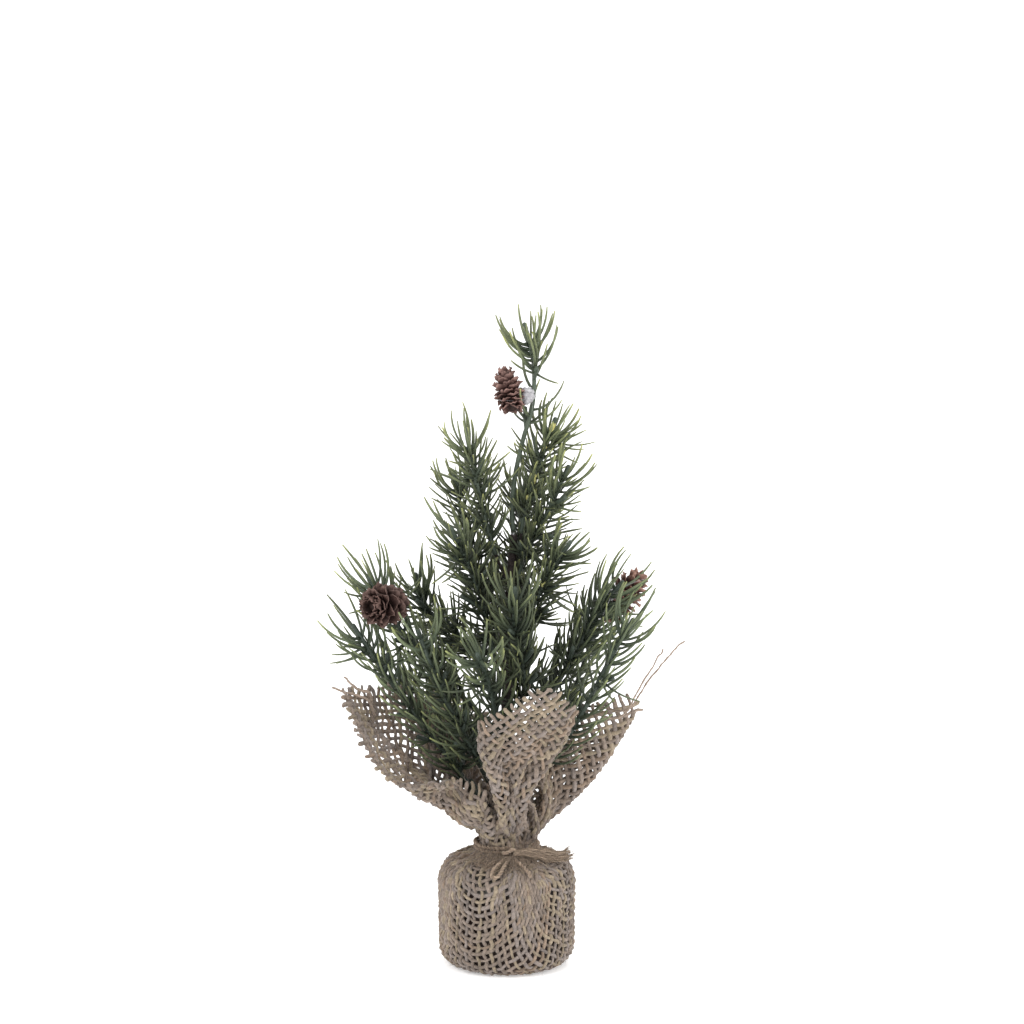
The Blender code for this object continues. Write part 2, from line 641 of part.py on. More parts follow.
def main():
    for old in list(bpy.data.objects):
        bpy.data.objects.remove(old, do_unlink=True)

    burlap = material("natural_burlap", (0.36, 0.27, 0.19), 0.95)
    jute = material("jute_twine", (0.42, 0.30, 0.19), 0.9)
    plastic = material("dark_cup_plastic", (0.035, 0.022, 0.018), 0.6)
    cement = material("cement", (0.45, 0.44, 0.42), 0.9)
    steel = material("steel_rod", (0.45, 0.45, 0.46), 0.45, 1.0)
    tape = material("brown_paper_tape", (0.030, 0.018, 0.014), 0.85)
    needles = material("moulded_needle_green", (0.075, 0.105, 0.055), 0.5)
    cone_wood = material("cone_wood", (0.085, 0.035, 0.022), 0.75)
    glue = material("hot_glue", (0.72, 0.70, 0.66), 0.35)

    cup(plastic)
    ballast(cement)
    trunk_rod(steel)
    trunk_wrap(tape)
    bag(burlap)
    for petal in PETALS:
        petal_solid(petal, burlap)
    twine_tie(jute)
    ellipsoid("twine_knot", KNOT_CENTRE, KNOT_HALF, jute)
    twine_ends(jute)

    space = fill_space()
    pivots = {}
    for spray in SPRAYS:
        pivot = empty_at(f"{spray.name}_pivot", root_of(spray))
        pivots[spray.name] = pivot
        spray_solid(spray, space, needles, pivot)
        if spray.name != "leader":
            wire_solid(spray, tape, pivot)
    for cone in CONES:
        cone_solid(cone, cone_wood, pivots[cone.spray])
        ellipsoid(f"glue_bead_{cone.name}", cone.glue, (0.0011, 0.0011, 0.0013), glue, pivots[cone.spray], 5, 8)


main()
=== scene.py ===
"""The looks of a small artificial tree in a burlap-wrapped cup.

Woven burlap with frayed petals, two-ply jute twine, moulded needle sprays on a taped trunk, and larch
cones with real scales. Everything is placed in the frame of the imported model.
"""

import json
import math

import bpy
import numpy as np
from mathutils import Matrix, Vector
from mathutils.kdtree import KDTree


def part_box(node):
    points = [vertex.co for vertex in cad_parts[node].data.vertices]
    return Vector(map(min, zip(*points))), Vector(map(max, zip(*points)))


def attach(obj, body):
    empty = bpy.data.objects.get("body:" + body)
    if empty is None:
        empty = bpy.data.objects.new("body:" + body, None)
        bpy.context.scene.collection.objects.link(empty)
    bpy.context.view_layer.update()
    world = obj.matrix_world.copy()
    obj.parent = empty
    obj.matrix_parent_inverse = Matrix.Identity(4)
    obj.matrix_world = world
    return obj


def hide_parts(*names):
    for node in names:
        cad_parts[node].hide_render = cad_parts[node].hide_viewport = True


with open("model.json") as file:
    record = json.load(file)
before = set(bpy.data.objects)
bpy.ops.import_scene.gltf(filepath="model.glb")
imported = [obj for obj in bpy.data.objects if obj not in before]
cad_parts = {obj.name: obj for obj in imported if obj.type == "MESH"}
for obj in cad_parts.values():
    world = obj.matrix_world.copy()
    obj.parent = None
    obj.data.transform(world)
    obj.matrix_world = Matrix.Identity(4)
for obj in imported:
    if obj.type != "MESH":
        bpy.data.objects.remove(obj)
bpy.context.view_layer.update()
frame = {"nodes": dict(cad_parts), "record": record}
JOINTS = {joint["child"]: joint for joint in frame["record"]["behaviour"]["joints"]}

GAP = 0.0003  # between a wire and its stem
WIRE_LENGTH = 0.0110

# ---- routes shared with the frame's design

TRUNK_ROUTE = ((0, 0, 0.0083), (0, 0, 0.060), (0.0002, 0, 0.110), (0.0012, 0, 0.160), (0.0031, 0, 0.1955))
TRUNK_FOOT_RADIUS = 0.0036
TRUNK_TOP_RADIUS = 0.0017
WRAP_FOOT = 0.0380
WRAP_TOP = 0.1945

# Each spray's route from its root in millimetres, and the share of its stem that is bare
SPRAYS = {
    "leader": (((2.4, 0, 203.7), (3.6, 0, 220), (7.2, 0, 237), (11.2, 0, 251.5), (12.1, 0, 266.5),
                (11, 0, 276), (7.6, 0, 289.6)), 0.50),
    "upper_left": (((-7.3, -3, 194), (-14.6, -6, 226.5), (-17.8, -8, 244)), 0.10),
    "upper_left_rear": (((-9, 4, 165), (-17.4, 8, 192), (-23.5, 12, 221)), 0.10),
    "upper_right": (((8, 2, 205), (14.7, 4, 226), (21.8, 6, 246.5)), 0.10),
    "upper_right_front": (((7.3, -2, 183.5), (17.7, -5, 205), (27.5, -8, 228)), 0.10),
    "mid_left_front": (((-8, -6, 153), (-13, -9, 173.7), (-24.4, -14, 201.5)), 0.10),
    "mid_left_rear": (((-10, 4, 134), (-21.8, 8, 147), (-35.4, 12, 159), (-40.4, 14, 174.5)), 0.10),
    "mid_right": (((11.2, -7, 162.7), (18.3, -11, 178.7), (28.6, -16, 196)), 0.10),
    "cone_left": (((-15, -1, 117), (-30.6, -3, 134), (-48.6, -5, 156), (-60.5, -7, 178)), 0.15),
    "cone_right": (((12, 1, 112), (24, 2, 129.5), (40.3, 4, 159), (51.7, 5, 172.8)), 0.15),
    "centre_front": (((7.3, -12, 125), (7, -17, 140), (3.7, -23, 158), (3.7, -27, 178)), 0.10),
    "low_front": (((-3, -15, 106), (-7.7, -30, 134.5), (-13, -48, 153)), 0.10),
    "low_left_front": (((-10, -7, 92), (-16, -11, 102), (-27.5, -17, 126), (-38.9, -23, 157)), 0.10),
    "low_left": (((-10.5, -1.5, 73), (-17.4, -3, 83), (-33, -6, 105), (-50.8, -9, 130),
                  (-67.5, -12, 157)), 0.10),
    "low_left_rear": (((-18, 6, 84), (-36.9, 12, 107), (-46.9, 15, 130)), 0.15),
    "low_right": (((14, -3, 85), (30, -8, 110), (44.7, -12, 140), (55.7, -15, 160.5)), 0.15),
    "back_right": (((13, 14, 92), (28, 30, 113), (40, 42, 142)), 0.15),
    "back_left": (((-14, 15, 90), (-29, 32, 113), (-40, 45, 142)), 0.15),
    "back_mid": (((2, 13, 129), (3, 27, 150), (2, 38, 178)), 0.10),
    "back_upper": (((4, 8, 170), (6.5, 16, 193), (8.5, 21, 217)), 0.10),
}

# Each cone's spray, the way its tip points, its half length and radius, and its tint
CONES = {
    "top": ("leader", (-0.22, 0.45, 0.86), 0.0098, 0.0066, (1.45, 1.3, 1.3)),
    "left": ("cone_left", (-0.52, -0.84, 0.12), 0.0094, 0.0094, (0.84, 0.77, 0.75)),
    "right": ("cone_right", (0.64, 0.05, 0.77), 0.0124, 0.0084, (2.1, 1.85, 1.7)),
}


# ---- numbers and meshes


def srgb(text):
    """A linear colour from the usual six hexadecimal digits."""
    channels = [int(text[i:i + 2], 16) / 255 for i in (0, 2, 4)]
    return np.array([c / 12.92 if c <= 0.04045 else ((c + 0.055) / 1.055)**2.4 for c in channels])


def palette(*texts):
    return np.array([srgb(text) for text in texts])


def unit(vectors):
    return vectors / np.maximum(np.linalg.norm(vectors, axis=-1, keepdims=True), 1e-12)


def smooth_route(points, step):
    """Points about a step apart on the smooth curve through the given points (Catmull-Rom)."""
    given = np.array(points, float)
    ends = np.vstack([2 * given[0] - given[1], given, 2 * given[-1] - given[-2]])
    fine = []
    for a, b, c, d in zip(ends, ends[1:], ends[2:], ends[3:]):
        for t in np.linspace(0, 1, 24, endpoint=False):
            fine.append(0.5 * (2 * b + (c - a) * t + (2 * a - 5 * b + 4 * c - d) * t**2
                               + (3 * b - a - 3 * c + d) * t**3))
    fine = np.array([*fine, given[-1]])
    along = arc_lengths(fine)
    count = max(2, round(along[-1] / step) + 1)
    return at_lengths(fine, np.linspace(0, along[-1], count))


def interp_rows(x, places, rows):
    """Rows of numbers, such as points or colours, between those at the given places."""
    return np.stack([np.interp(x, places, column) for column in np.transpose(rows)], axis=-1)


def arc_lengths(route):
    return np.concatenate([[0], np.linalg.norm(np.diff(route, axis=0), axis=1).cumsum()])


def at_lengths(route, lengths):
    return interp_rows(lengths, arc_lengths(route), route)


def walk(starts, ways, lengths):
    """Lines that step from the given starts along the given ways."""
    steps = unit(ways) * (lengths / (ways.shape[1] - 1))[:, None, None]
    return starts[:, None] + np.concatenate([0 * steps[:, :1], steps[:, :-1].cumsum(axis=1)], axis=1)


def link(name, data):
    made = bpy.data.objects.new(name, data)
    bpy.context.collection.objects.link(made)
    return made


def middle_of(node):
    low, high = (np.array(corner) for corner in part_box(node))
    return (low + high) / 2


def tube_frames(centres):
    """Tangents and two cross directions for many routes at once, carried along each with little turning."""
    tangents = unit(np.gradient(centres, axis=1))
    first = tangents[:, 0]
    guess = np.where(np.abs(first[:, 1:2]) < 0.9, (0.0, 1.0, 0.0), (1.0, 0.0, 0.0))
    side = unit(np.cross(first, guess))
    sides = []
    for k in range(centres.shape[1]):
        tangent = tangents[:, k]
        side = unit(side - tangent * (side * tangent).sum(-1, keepdims=True))
        sides.append(side)
    sides = np.stack(sides, axis=1)
    return tangents, sides, np.cross(tangents, sides)


def route_frame(route):
    return (a[0] for a in tube_frames(route[None]))


def spokes(angle, across, up):
    """Directions at the given angles round a route."""
    return np.cos(angle)[:, None] * across + np.sin(angle)[:, None] * up


def tube_faces(points, sides):
    """Faces of a closed tube, whose two end points come after its rings."""
    k = np.arange(sides)
    n = (k + 1) % sides
    low = np.arange(points - 1)[:, None] * sides
    quads = np.stack([low + k, low + n, low + sides + n, low + sides + k], axis=-1).reshape(-1, 4)
    last = points * sides
    top = last - sides
    return (quads, np.stack([n, k, np.full(sides, last)], axis=-1),
            np.stack([top + k, top + n, np.full(sides, last + 1)], axis=-1))


class Pile:
    """Vertices, faces and vertex colours of one piece, gathered from many small closed shapes."""

    def __init__(self):
        self.points, self.colours, self.faces, self.count = [], [], [], 0

    def add(self, points, faces, colours):
        self.points.append(points)
        self.colours.append(np.broadcast_to(colours, points.shape))
        self.faces += [np.asarray(f) + self.count for f in faces]
        self.count += len(points)

    def tubes(self, centres, radii, sides, colours, flat=1.0, cap=0.6, frames=None):
        """Closed tubes round many routes: centres (tubes, points, 3), radii and colours per point."""
        centres = np.asarray(centres, float)
        tubes, points = centres.shape[:2]
        radii = np.broadcast_to(radii, (tubes, points))
        colours = np.broadcast_to(colours, (tubes, points, 3))
        tangents, across, up = frames or tube_frames(centres)
        angles = np.arange(sides) * 2 * math.pi / sides
        wide = np.cos(angles)[:, None] * across[:, :, None]
        high = np.sin(angles)[:, None] * up[:, :, None] * flat
        rings = centres[:, :, None] + radii[:, :, None, None] * (wide + high)
        ends = np.stack([centres[:, 0] - tangents[:, 0] * radii[:, :1] * cap,
                         centres[:, -1] + tangents[:, -1] * radii[:, -1:] * cap], axis=1)
        body = np.concatenate([rings.reshape(tubes, -1, 3), ends], axis=1)
        shades = np.concatenate([np.repeat(colours, sides, axis=1), colours[:, [0, -1]]], axis=1)
        offsets = (np.arange(tubes) * (points * sides + 2))[:, None, None]
        faces = [(f + offsets).reshape(-1, f.shape[1]) for f in tube_faces(points, sides)]
        self.add(body.reshape(-1, 3), faces, shades.reshape(-1, 3))

    def piece(self, name, look, slot, body, replaces=()):
        """The Blender object, riding on its body and standing for its CAD nodes."""
        mesh = bpy.data.meshes.new(name)
        points = np.concatenate(self.points)
        mesh.from_pydata(points.tolist(), [], [face for faces in self.faces for face in faces.tolist()])
        mesh.validate()
        mesh.shade_smooth()
        tint = mesh.attributes.new("tint", "FLOAT_COLOR", "POINT")
        shades = np.concatenate([np.concatenate(self.colours), np.ones((len(points), 1))], axis=1)
        tint.data.foreach_set("color", shades.astype(np.float32).ravel())
        mesh.materials.append(look)
        made = link(name, mesh)
        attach(made, body)
        if replaces:
            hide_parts(*replaces)
        return made


# ---- materials


FIBRE = (0.92, 0.15, ((900, 5, 0.7), 0.6, 1.3, 0.3, 0.72), ((1440, 4, 0.75), 0.00018, 0.8), None,
         {"Sheen Weight": 0.15, "Sheen Roughness": 0.6})

# Roughness and gloss; the noise between two colours, or two greys that multiply the piece's own colours,
# and where on the noise they begin; the noise of the relief, its depth and strength; the noise of the
# roughness and its range; other inputs. A noise is its scale, detail and roughness.
LOOKS = {
    "burlap": FIBRE,
    "jute": FIBRE,
    "moulded_needles": (0.5, 0.35, ((420, 4), 0.78, 1.14, 0.3, 0.7), ((1400, 2), 0.00006, 0.5),
                        ((900, 2), 0.38, 0.62), {}),
    "cone_scales": (0.68, 0.3, ((520, 5, 0.7), 0.6, 1.35, 0.3, 0.7), ((900, 4, 0.7), 0.00015, 0.7),
                    ((700,), 0.5, 0.85), {}),
    "paper_tape": (0.8, 0.25, ((600, 4), "211c1b", "403735", 0.35, 0.75), ((1100, 3), 0.0001, 0.8),
                   ((800,), 0.6, 0.9), {}),
    "hot_glue": (0.22, 0.5, ((300,), "8d8b8f", "c2c0c3", 0.3, 0.7), ((500,), 0.0001, 0.4), None,
                 {"Subsurface Weight": 0.3, "Subsurface Radius": (0.002, 0.002, 0.002),
                  "Subsurface Scale": 0.5}),
    "cup_plastic": (0.55, 0.4, ((90,), "2c211d", "46332b", 0.3, 0.7), ((700,), 0.0001, 0.3), None, {}),
    "cement": (0.92, 0.2, ((260, 6, 0.7), "8d8a84", "c2beb6", 0.3, 0.7), ((500, 5, 0.7), 0.0004, 0.8),
               None, {}),
    "steel_wire": (0.35, 0.5, ((200,), "8b8b8c", "b5b5b5", 0.3, 0.7), None, ((500,), 0.25, 0.5),
                   {"Metallic": 1.0}),
    "floor": (0.9, 0.1, None, None, None,
              {"Base Color": (0.93, 0.93, 0.93, 1), "Emission Color": (1, 1, 1, 1),
               "Emission Strength": 0.35}),
}


def make_look(name):
    """A Principled material from the table of looks."""
    roughness, gloss, paint, relief, uneven, others = LOOKS[name]
    material = bpy.data.materials.new(name)
    material.use_nodes = True
    tree = material.node_tree
    join = tree.links.new
    shader = tree.nodes["Principled BSDF"].inputs
    for key, value in {"Roughness": roughness, "Specular IOR Level": gloss, **others}.items():
        shader[key].default_value = value

    def node(kind, **values):
        made = tree.nodes.new(kind)
        for key, value in values.items():
            if key in made.inputs:
                made.inputs[key].default_value = value
            else:
                setattr(made, key, value)
        return made

    def noise(scale, detail=3.0, rough=0.6):
        made = node("ShaderNodeTexNoise", Scale=scale, Detail=detail, Roughness=rough)
        join(node("ShaderNodeTexCoord").outputs["Object"], made.inputs["Vector"])
        return made.outputs["Fac"]

    if paint:
        which, *colours, start, end = paint
        ramp = node("ShaderNodeValToRGB")
        for stop, place, colour in zip(ramp.color_ramp.elements, (start, end), colours):
            stop.position = place
            stop.color = (*(srgb(colour) if isinstance(colour, str) else (colour,) * 3), 1)
        join(noise(*which), ramp.inputs["Fac"])
        result = ramp.outputs["Color"]
        if not isinstance(colours[0], str):
            mix = node("ShaderNodeMix", data_type="RGBA", blend_type="MULTIPLY", Factor=1.0)
            tint = node("ShaderNodeAttribute", attribute_name="tint")
            join(tint.outputs["Color"], mix.inputs["A"])
            join(result, mix.inputs["B"])
            result = mix.outputs["Result"]
        join(result, shader["Base Color"])
    if uneven:
        spread = node("ShaderNodeMapRange", **{"To Min": uneven[1], "To Max": uneven[2]})
        join(noise(*uneven[0]), spread.inputs["Value"])
        join(spread.outputs["Result"], shader["Roughness"])
    if relief:
        bump = node("ShaderNodeBump", Distance=relief[1], Strength=relief[2])
        join(noise(*relief[0]), bump.inputs["Height"])
        join(bump.outputs["Normal"], shader["Normal"])
    return material


# ---- camera, light and floor

CAMERA_AIM = Vector((0.0024, 0.0, 0.2048))
CAMERA_DISTANCE = 3.0
CAMERA_RISE = math.radians(12.5)
FRAME_WIDTH = 0.4490  # of the view at the distance of the tree


def camera():
    data = bpy.data.cameras.new("camera")
    data.lens = data.sensor_width * CAMERA_DISTANCE / FRAME_WIDTH
    made = link("camera", data)
    way = Vector((0, -math.cos(CAMERA_RISE), math.sin(CAMERA_RISE)))
    made.location = CAMERA_AIM + way * CAMERA_DISTANCE
    made.rotation_euler = (-way).to_track_quat("-Z", "Y").to_euler()
    bpy.context.scene.camera = made


def area_light(name, place, size, power, aim=(0, 0, 0.13)):
    data = bpy.data.lights.new(name, "AREA")
    data.shape = "DISK"
    data.size = size
    data.energy = power
    made = link(name, data)
    made.location = place
    made.rotation_euler = (Vector(place) - Vector(aim)).to_track_quat("Z", "Y").to_euler()


def studio():
    """A pale seamless floor and soft light from all round, a little stronger from above left."""
    size = 8.0
    mesh = bpy.data.meshes.new("floor")
    corners = [(-size, -size, 0), (size, -size, 0), (size, size, 0), (-size, size, 0)]
    mesh.from_pydata(corners, [], [(0, 1, 2, 3)])
    floor = link("floor", mesh)
    mesh.materials.append(make_look("floor"))
    world = bpy.data.worlds.new("studio")
    world.use_nodes = True
    background = world.node_tree.nodes["Background"].inputs
    background["Color"].default_value = (1, 1, 1, 1)
    background["Strength"].default_value = 0.95
    bpy.context.scene.world = world
    area_light("key", (-0.7, -0.9, 1.1), 0.8, 9.0)
    area_light("fill", (0.9, -0.7, 0.7), 0.9, 5.0)
    area_light("back", (0.3, 1.0, 1.0), 0.8, 6.0)
    bpy.context.scene.view_settings.view_transform = "Standard"


# ---- trunk and glue


def trunk(look):
    """Paper tape wound round the rod and the sprays' wires, each turn lapping the one below."""
    heights = np.linspace(WRAP_FOOT, WRAP_TOP, 620)
    sides, lap = 20, 0.0046
    route = smooth_route(TRUNK_ROUTE, 0.002)
    centres = interp_rows(heights, route[:, 2], route)
    rng = np.random.default_rng(5)
    angles = np.arange(sides) * 2 * math.pi / sides
    radius = np.interp(heights, (WRAP_FOOT, WRAP_TOP), (TRUNK_FOOT_RADIUS, TRUNK_TOP_RADIUS))[:, None]
    turn = heights[:, None] / lap - angles / (2 * math.pi)
    ridge = 0.00022 * (1 - (turn % 1.0)) ** 2
    lumps = 0.00012 * np.sin(heights[:, None] * 900 + 2 * angles) * np.sin(heights[:, None] * 310)
    crinkle = rng.normal(0, 0.00003, ridge.shape)
    reach = (radius + ridge + lumps + crinkle - 0.0001)[..., None]
    rings = centres[:, None] + reach * np.stack([np.cos(angles), np.sin(angles), 0 * angles], axis=-1)
    ends = np.stack([centres[0], centres[-1] + (0, 0, 0.0006)])
    pile = Pile()
    pile.add(np.concatenate([rings.reshape(-1, 3), ends]), tube_faces(len(heights), sides), srgb("3a2d27"))
    pile.piece("trunk_tape", look, "paper_tape", "root", ["trunk_wrap"])


# ---- sprays

STEM_COLOUR = srgb("3b453c")
BARE_COLOUR = srgb("b9b878")  # where the paint hasn't covered the plastic
NEEDLE_COLOURS = palette("30392f", "4a533f", "5b6347", "868b57")
NEEDLE_STOPS = (0, 0.45, 0.9, 1.12)  # along a needle
# Below these heights, needles close to the trunk also carry painted shade and those far out painted light.
TINT_HEIGHTS = (0.17, 0.24)  # where the plastic turns paler, from the needles' own colours to the top's
TOP_TINT = (1.58, 1.50, 1.36)
STEM_RADIUS = 0.00095
BAR_RADIUS = 0.00100
NEEDLE_RADIUS = 0.00050
NEEDLE_LENGTH = 0.0200
NEEDLE_SPACING = 0.00070
LOWEST_NEEDLE = 0.060
CLOTH_ROOM = 0.0024  # kept between needles and the crossings of the burlap's yarns
GOLDEN_ANGLE = math.radians(137.5)

# How far along each spray the paint is thin, as shares of its stem
THIN_PAINT = {"upper_right": ((0.26, 0.34), (0.43, 0.50), (0.68, 0.76), (0.87, 0.95)),
              "mid_right": ((0.5, 0.56),)}

# Shares of the needles kept far from the trunk on the sprays that hang low in the tree
KEPT = {"low_left": 0.75, "cone_right": 1.0}
KEPT_LOW = 0.48

# Needles of the last whorl, how far they curve and how far they lean
WHORL = (12, 1.0, 62)
LEADER_WHORL = (9, 0.85, 72)
TWIG_SPACING = 0.0080
LEADER_TWIG_SPACING = 0.0190
TWIG_POINTS = 14
LEADER_BARE = 0.76  # share of the leader on which few needles are left
LEADER_KEPT = 0.22


def spray_route(name):
    root = JOINTS[name]["pos_m"]
    route = smooth_route([root, *np.array(SPRAYS[name][0]) / 1000], 0.0010)
    start = GAP if name == "leader" else WIRE_LENGTH + GAP
    length = arc_lengths(route)[-1]
    return at_lengths(route, np.arange(start, length, 0.0010))


def needle_lines(feet, tangents, radials, lengths, lean_from, lean_to, sway, count=8):
    """Centre lines of needles that leave the stem at one angle and curve round to follow it."""
    t = np.linspace(0, 1, count)
    lean = lean_from[:, None] + (lean_to - lean_from)[:, None] * t**0.75
    sideways = np.cross(tangents, radials)
    way = (np.cos(lean)[..., None] * tangents[:, None] + np.sin(lean)[..., None] * radials[:, None]
           + (sway[:, None] * t)[..., None] * sideways[:, None])
    return walk(feet, way, lengths)


def height_tint(heights):
    """The plastic is paler and yellower towards the top of the tree."""
    return interp_rows(heights, TINT_HEIGHTS, ((1, 1, 1), TOP_TINT))


def needles(pile, body, route, radius, spots, lengths, rng, obstacles, curl, lean=58):
    """Needles round a stem at the given distances along it; curl is how far they curve to follow it."""
    along = arc_lengths(route)
    count = len(spots)
    tangents, across, up = route_frame(route)
    index = np.clip(np.searchsorted(along, spots), 0, len(along) - 1)
    angle = np.arange(count) * GOLDEN_ANGLE + rng.normal(0, 0.3, count) + rng.uniform(0, 6.28)
    radial = spokes(angle, across[index], up[index])
    feet = route[index] + radial * radius * 0.5
    lean_from = np.radians(rng.normal(lean, 8, count))
    lean_to = lean_from * (1 - curl) + np.radians(rng.normal(0, 8, count))
    sway = rng.normal(0, 0.22, count)
    lines = needle_lines(feet, tangents[index], radial, lengths, lean_from, lean_to, sway)
    lines = lines[obstacles.clear(lines, body)]
    count = len(lines)
    if not count:
        return
    t = np.linspace(0, 1, lines.shape[1])
    stout = NEEDLE_RADIUS * np.interp(curl, (0.4, 0.9), (1.0, 1.25))
    sizes = np.interp(t, (0, 0.08, 0.3, 0.7, 0.93, 1), (1.3, 1.05, 1.0, 0.9, 0.65, 0.45)) * stout
    warm = rng.normal(0, 0.5, (count, 1)).clip(-1, 1)
    shade = interp_rows(t[None] + 0.14 * warm, NEEDLE_STOPS, NEEDLE_COLOURS)
    shade = shade * rng.normal(1, 0.13, (count, 1, 1)).clip(0.6, 1.4)
    # Painted shade and painted light: low in the tree, needles close to the trunk are darkened as if shaded
    # by the foliage round them, and those far out are lightened as if lit.
    inner = np.interp(np.linalg.norm(lines[..., :2], axis=-1), (0.014, 0.050), (0.55, 1.25))[..., None]
    low = np.interp(lines[..., 2], TINT_HEIGHTS, (1.0, 0.0))[..., None]
    shade = shade * height_tint(lines[..., 2]) * (1.0 + 0.12 * (curl > 0.7)) * (1 + (inner - 1) * low)
    pile.tubes(lines, sizes * rng.normal(1, 0.09, (count, 1)), 5, shade, flat=0.8)


def thinned(spots, route, along, share, rng):
    """The given distances along a stem, of which only a share is kept far from the trunk."""
    out = np.interp(spots, along, np.hypot(route[:, 0], route[:, 1]))
    return spots[rng.uniform(0, 1, len(spots)) < np.interp(out, (0.018, 0.042), (1.0, share))]


def spray(name, look, rng, obstacles):
    """One spray of moulded plastic: its stem, needles and side twigs."""
    route = spray_route(name)
    along = arc_lengths(route)
    length = along[-1]
    pile = Pile()
    high = name.startswith(("upper", "mid", "back_upper"))
    kept = KEPT.get(name, 1.0 if high else KEPT_LOW)
    spacing = NEEDLE_SPACING * (0.8 if name.startswith(("mid", "centre")) else 1.0)

    # the stem, which ends in a blunt rounded bar
    share = along / length
    radii = np.interp(along - length, (-0.020, -0.010, -0.001, 0), (1.0, 1.05, 1.1, 0.95)) * STEM_RADIUS
    radii = radii * (1 + 0.05 * np.sin(along * 1900) * np.sin(along * 730))
    radii = radii * np.interp(share, (0, 0.6), (1.2, 1.0))
    shade = STEM_COLOUR * (1 + 0.12 * np.sin(along * 400))[:, None]
    for start, end in THIN_PAINT.get(name, ()):
        shade = np.where(((share > start) & (share < end))[:, None], BARE_COLOUR, shade)
    pile.tubes(route[None], radii[None], 10, (shade * height_tint(route[:, 2]))[None])

    def grow(stem, radius, spots, lengths, *shape):
        lengths = NEEDLE_LENGTH * lengths
        needles(pile, name, stem, radius, spots, lengths, rng, obstacles, *shape)

    # needles in a spiral up the stem, and a last whorl of long ones round the bar
    first = max(SPRAYS[name][1] * length, 0.003)
    spots = np.arange(first, length - 0.010, spacing)
    spots = thinned(spots, route, along, kept, rng)
    if name == "leader":
        spots = spots[(spots > LEADER_BARE * length) | (rng.uniform(0, 1, len(spots)) < LEADER_KEPT)]
    spots = (spots + rng.normal(0, 0.0003, len(spots))).clip(0, length)
    longer = (0.80, 0.76, 0.84, 0.92) if high else (1.0, 0.94, 1.0, 1.1)
    longer = np.interp(spots / length, (0, 0.35, 0.8, 1), longer)
    grow(route, STEM_RADIUS, spots, rng.normal(1.0, 0.08, len(spots)) * longer, 0.45 if high else 0.90)
    whorl, curl, lean = LEADER_WHORL if name == "leader" else WHORL
    spots = length - 0.0100 + rng.normal(0, 0.0020, whorl)
    lengths = (0.95 if high or name == "leader" else 1.15) * rng.normal(1.0, 0.06, whorl)
    grow(route, STEM_RADIUS, spots, lengths, curl, lean)

    # side twigs, each a blunt bar with a few needles round its foot
    spacing = LEADER_TWIG_SPACING if name == "leader" else TWIG_SPACING
    places = np.arange(max(first, 0.006), length - 0.013, spacing)
    places = thinned(places, route, along, 0.8 * kept, rng)
    index = np.searchsorted(along, (places + rng.normal(0, 0.002, len(places))).clip(0.002, length - 0.011))
    tangents, across, up = route_frame(route)
    angle = np.arange(len(places)) * math.radians(150) + rng.normal(0, 0.5, len(places))
    angle = angle + rng.uniform(0, 6.28)
    radial = spokes(angle, across[index], up[index])
    leans = np.radians(rng.normal(46, 7, len(places)))
    twigs = needle_lines(route[index], tangents[index], radial, rng.uniform(0.0085, 0.0130, len(places)),
                         leans, leans - math.radians(12), np.zeros(len(places)), TWIG_POINTS)
    widths = np.interp(np.linspace(0, 1, TWIG_POINTS), (0, 0.25, 0.97, 1), (0.8, 0.95, 1.0, 0.9)) * BAR_RADIUS
    for twig in twigs[obstacles.clear(twigs, name)]:
        shade = STEM_COLOUR * rng.normal(1.05, 0.1) * height_tint(twig[:, 2])
        pile.tubes(twig[None], widths[None], 8, shade[None])
        reach = arc_lengths(twig)[-1]
        count = rng.integers(6, 10) if name != "leader" else 3
        spots = rng.uniform(0.10, 0.55, count) * reach
        grow(twig, BAR_RADIUS, spots, 0.8 * rng.normal(1, 0.12, count), 0.6)
    pile.piece(f"{name}_moulding", look, "needles", name, [f"{name}_spray"])


class Obstacles:
    """What needles keep out of: the cones as ellipsoids and the cloth."""

    def __init__(self, cloth):
        self.cones = []
        self.cloth = KDTree(len(cloth))
        for k, place in enumerate(cloth):
            self.cloth.insert(place, k)
        self.cloth.balance()
        self.cloth_top = cloth[:, 2].max() + CLOTH_ROOM

    def clear(self, lines, body):
        """Which of a body's needles touch nothing at rest and at both ends of its joint's range."""
        joint = JOINTS[body]
        root = joint["pos_m"]
        keep = lines[..., 2].min(axis=1) > LOWEST_NEEDLE
        for angle in (0, *np.radians(joint["range_deg"])):
            turned = (lines - root) @ np.array(Matrix.Rotation(-angle, 3, joint["axis"])) + root
            for owner, centre, axis, half_length, radius in self.cones:
                if owner == body and angle:
                    continue
                offset = turned[:, 2:] - centre
                along = offset @ axis
                out = np.linalg.norm(offset - along[..., None] * axis, axis=-1)
                inside = (along / half_length)**2 + (out / radius)**2 < 0.85
                keep &= ~inside.any(axis=1)
            for k in np.flatnonzero(keep & (turned[..., 2].min(axis=1) < self.cloth_top)):
                keep[k] = all(self.cloth.find(place)[2] > CLOTH_ROOM for place in turned[k, 2:])
        return keep


# ---- cones

SCALE_ROWS, SCALE_COLUMNS = 6, 7
SCALE_COUNT = 52
SCALE_THICKNESS = 0.0006
# From a scale's foot to its edge: near-black painted shade at the foot, where the scale above covers it, then
# the scale's own brown, then a paler painted highlight along its edge.
SCALE_COLOURS_WITH_PAINTED_LIGHT = palette("0b0706", "35231f", "745f58")
SCALE_STOPS = (0, 0.62, 1)


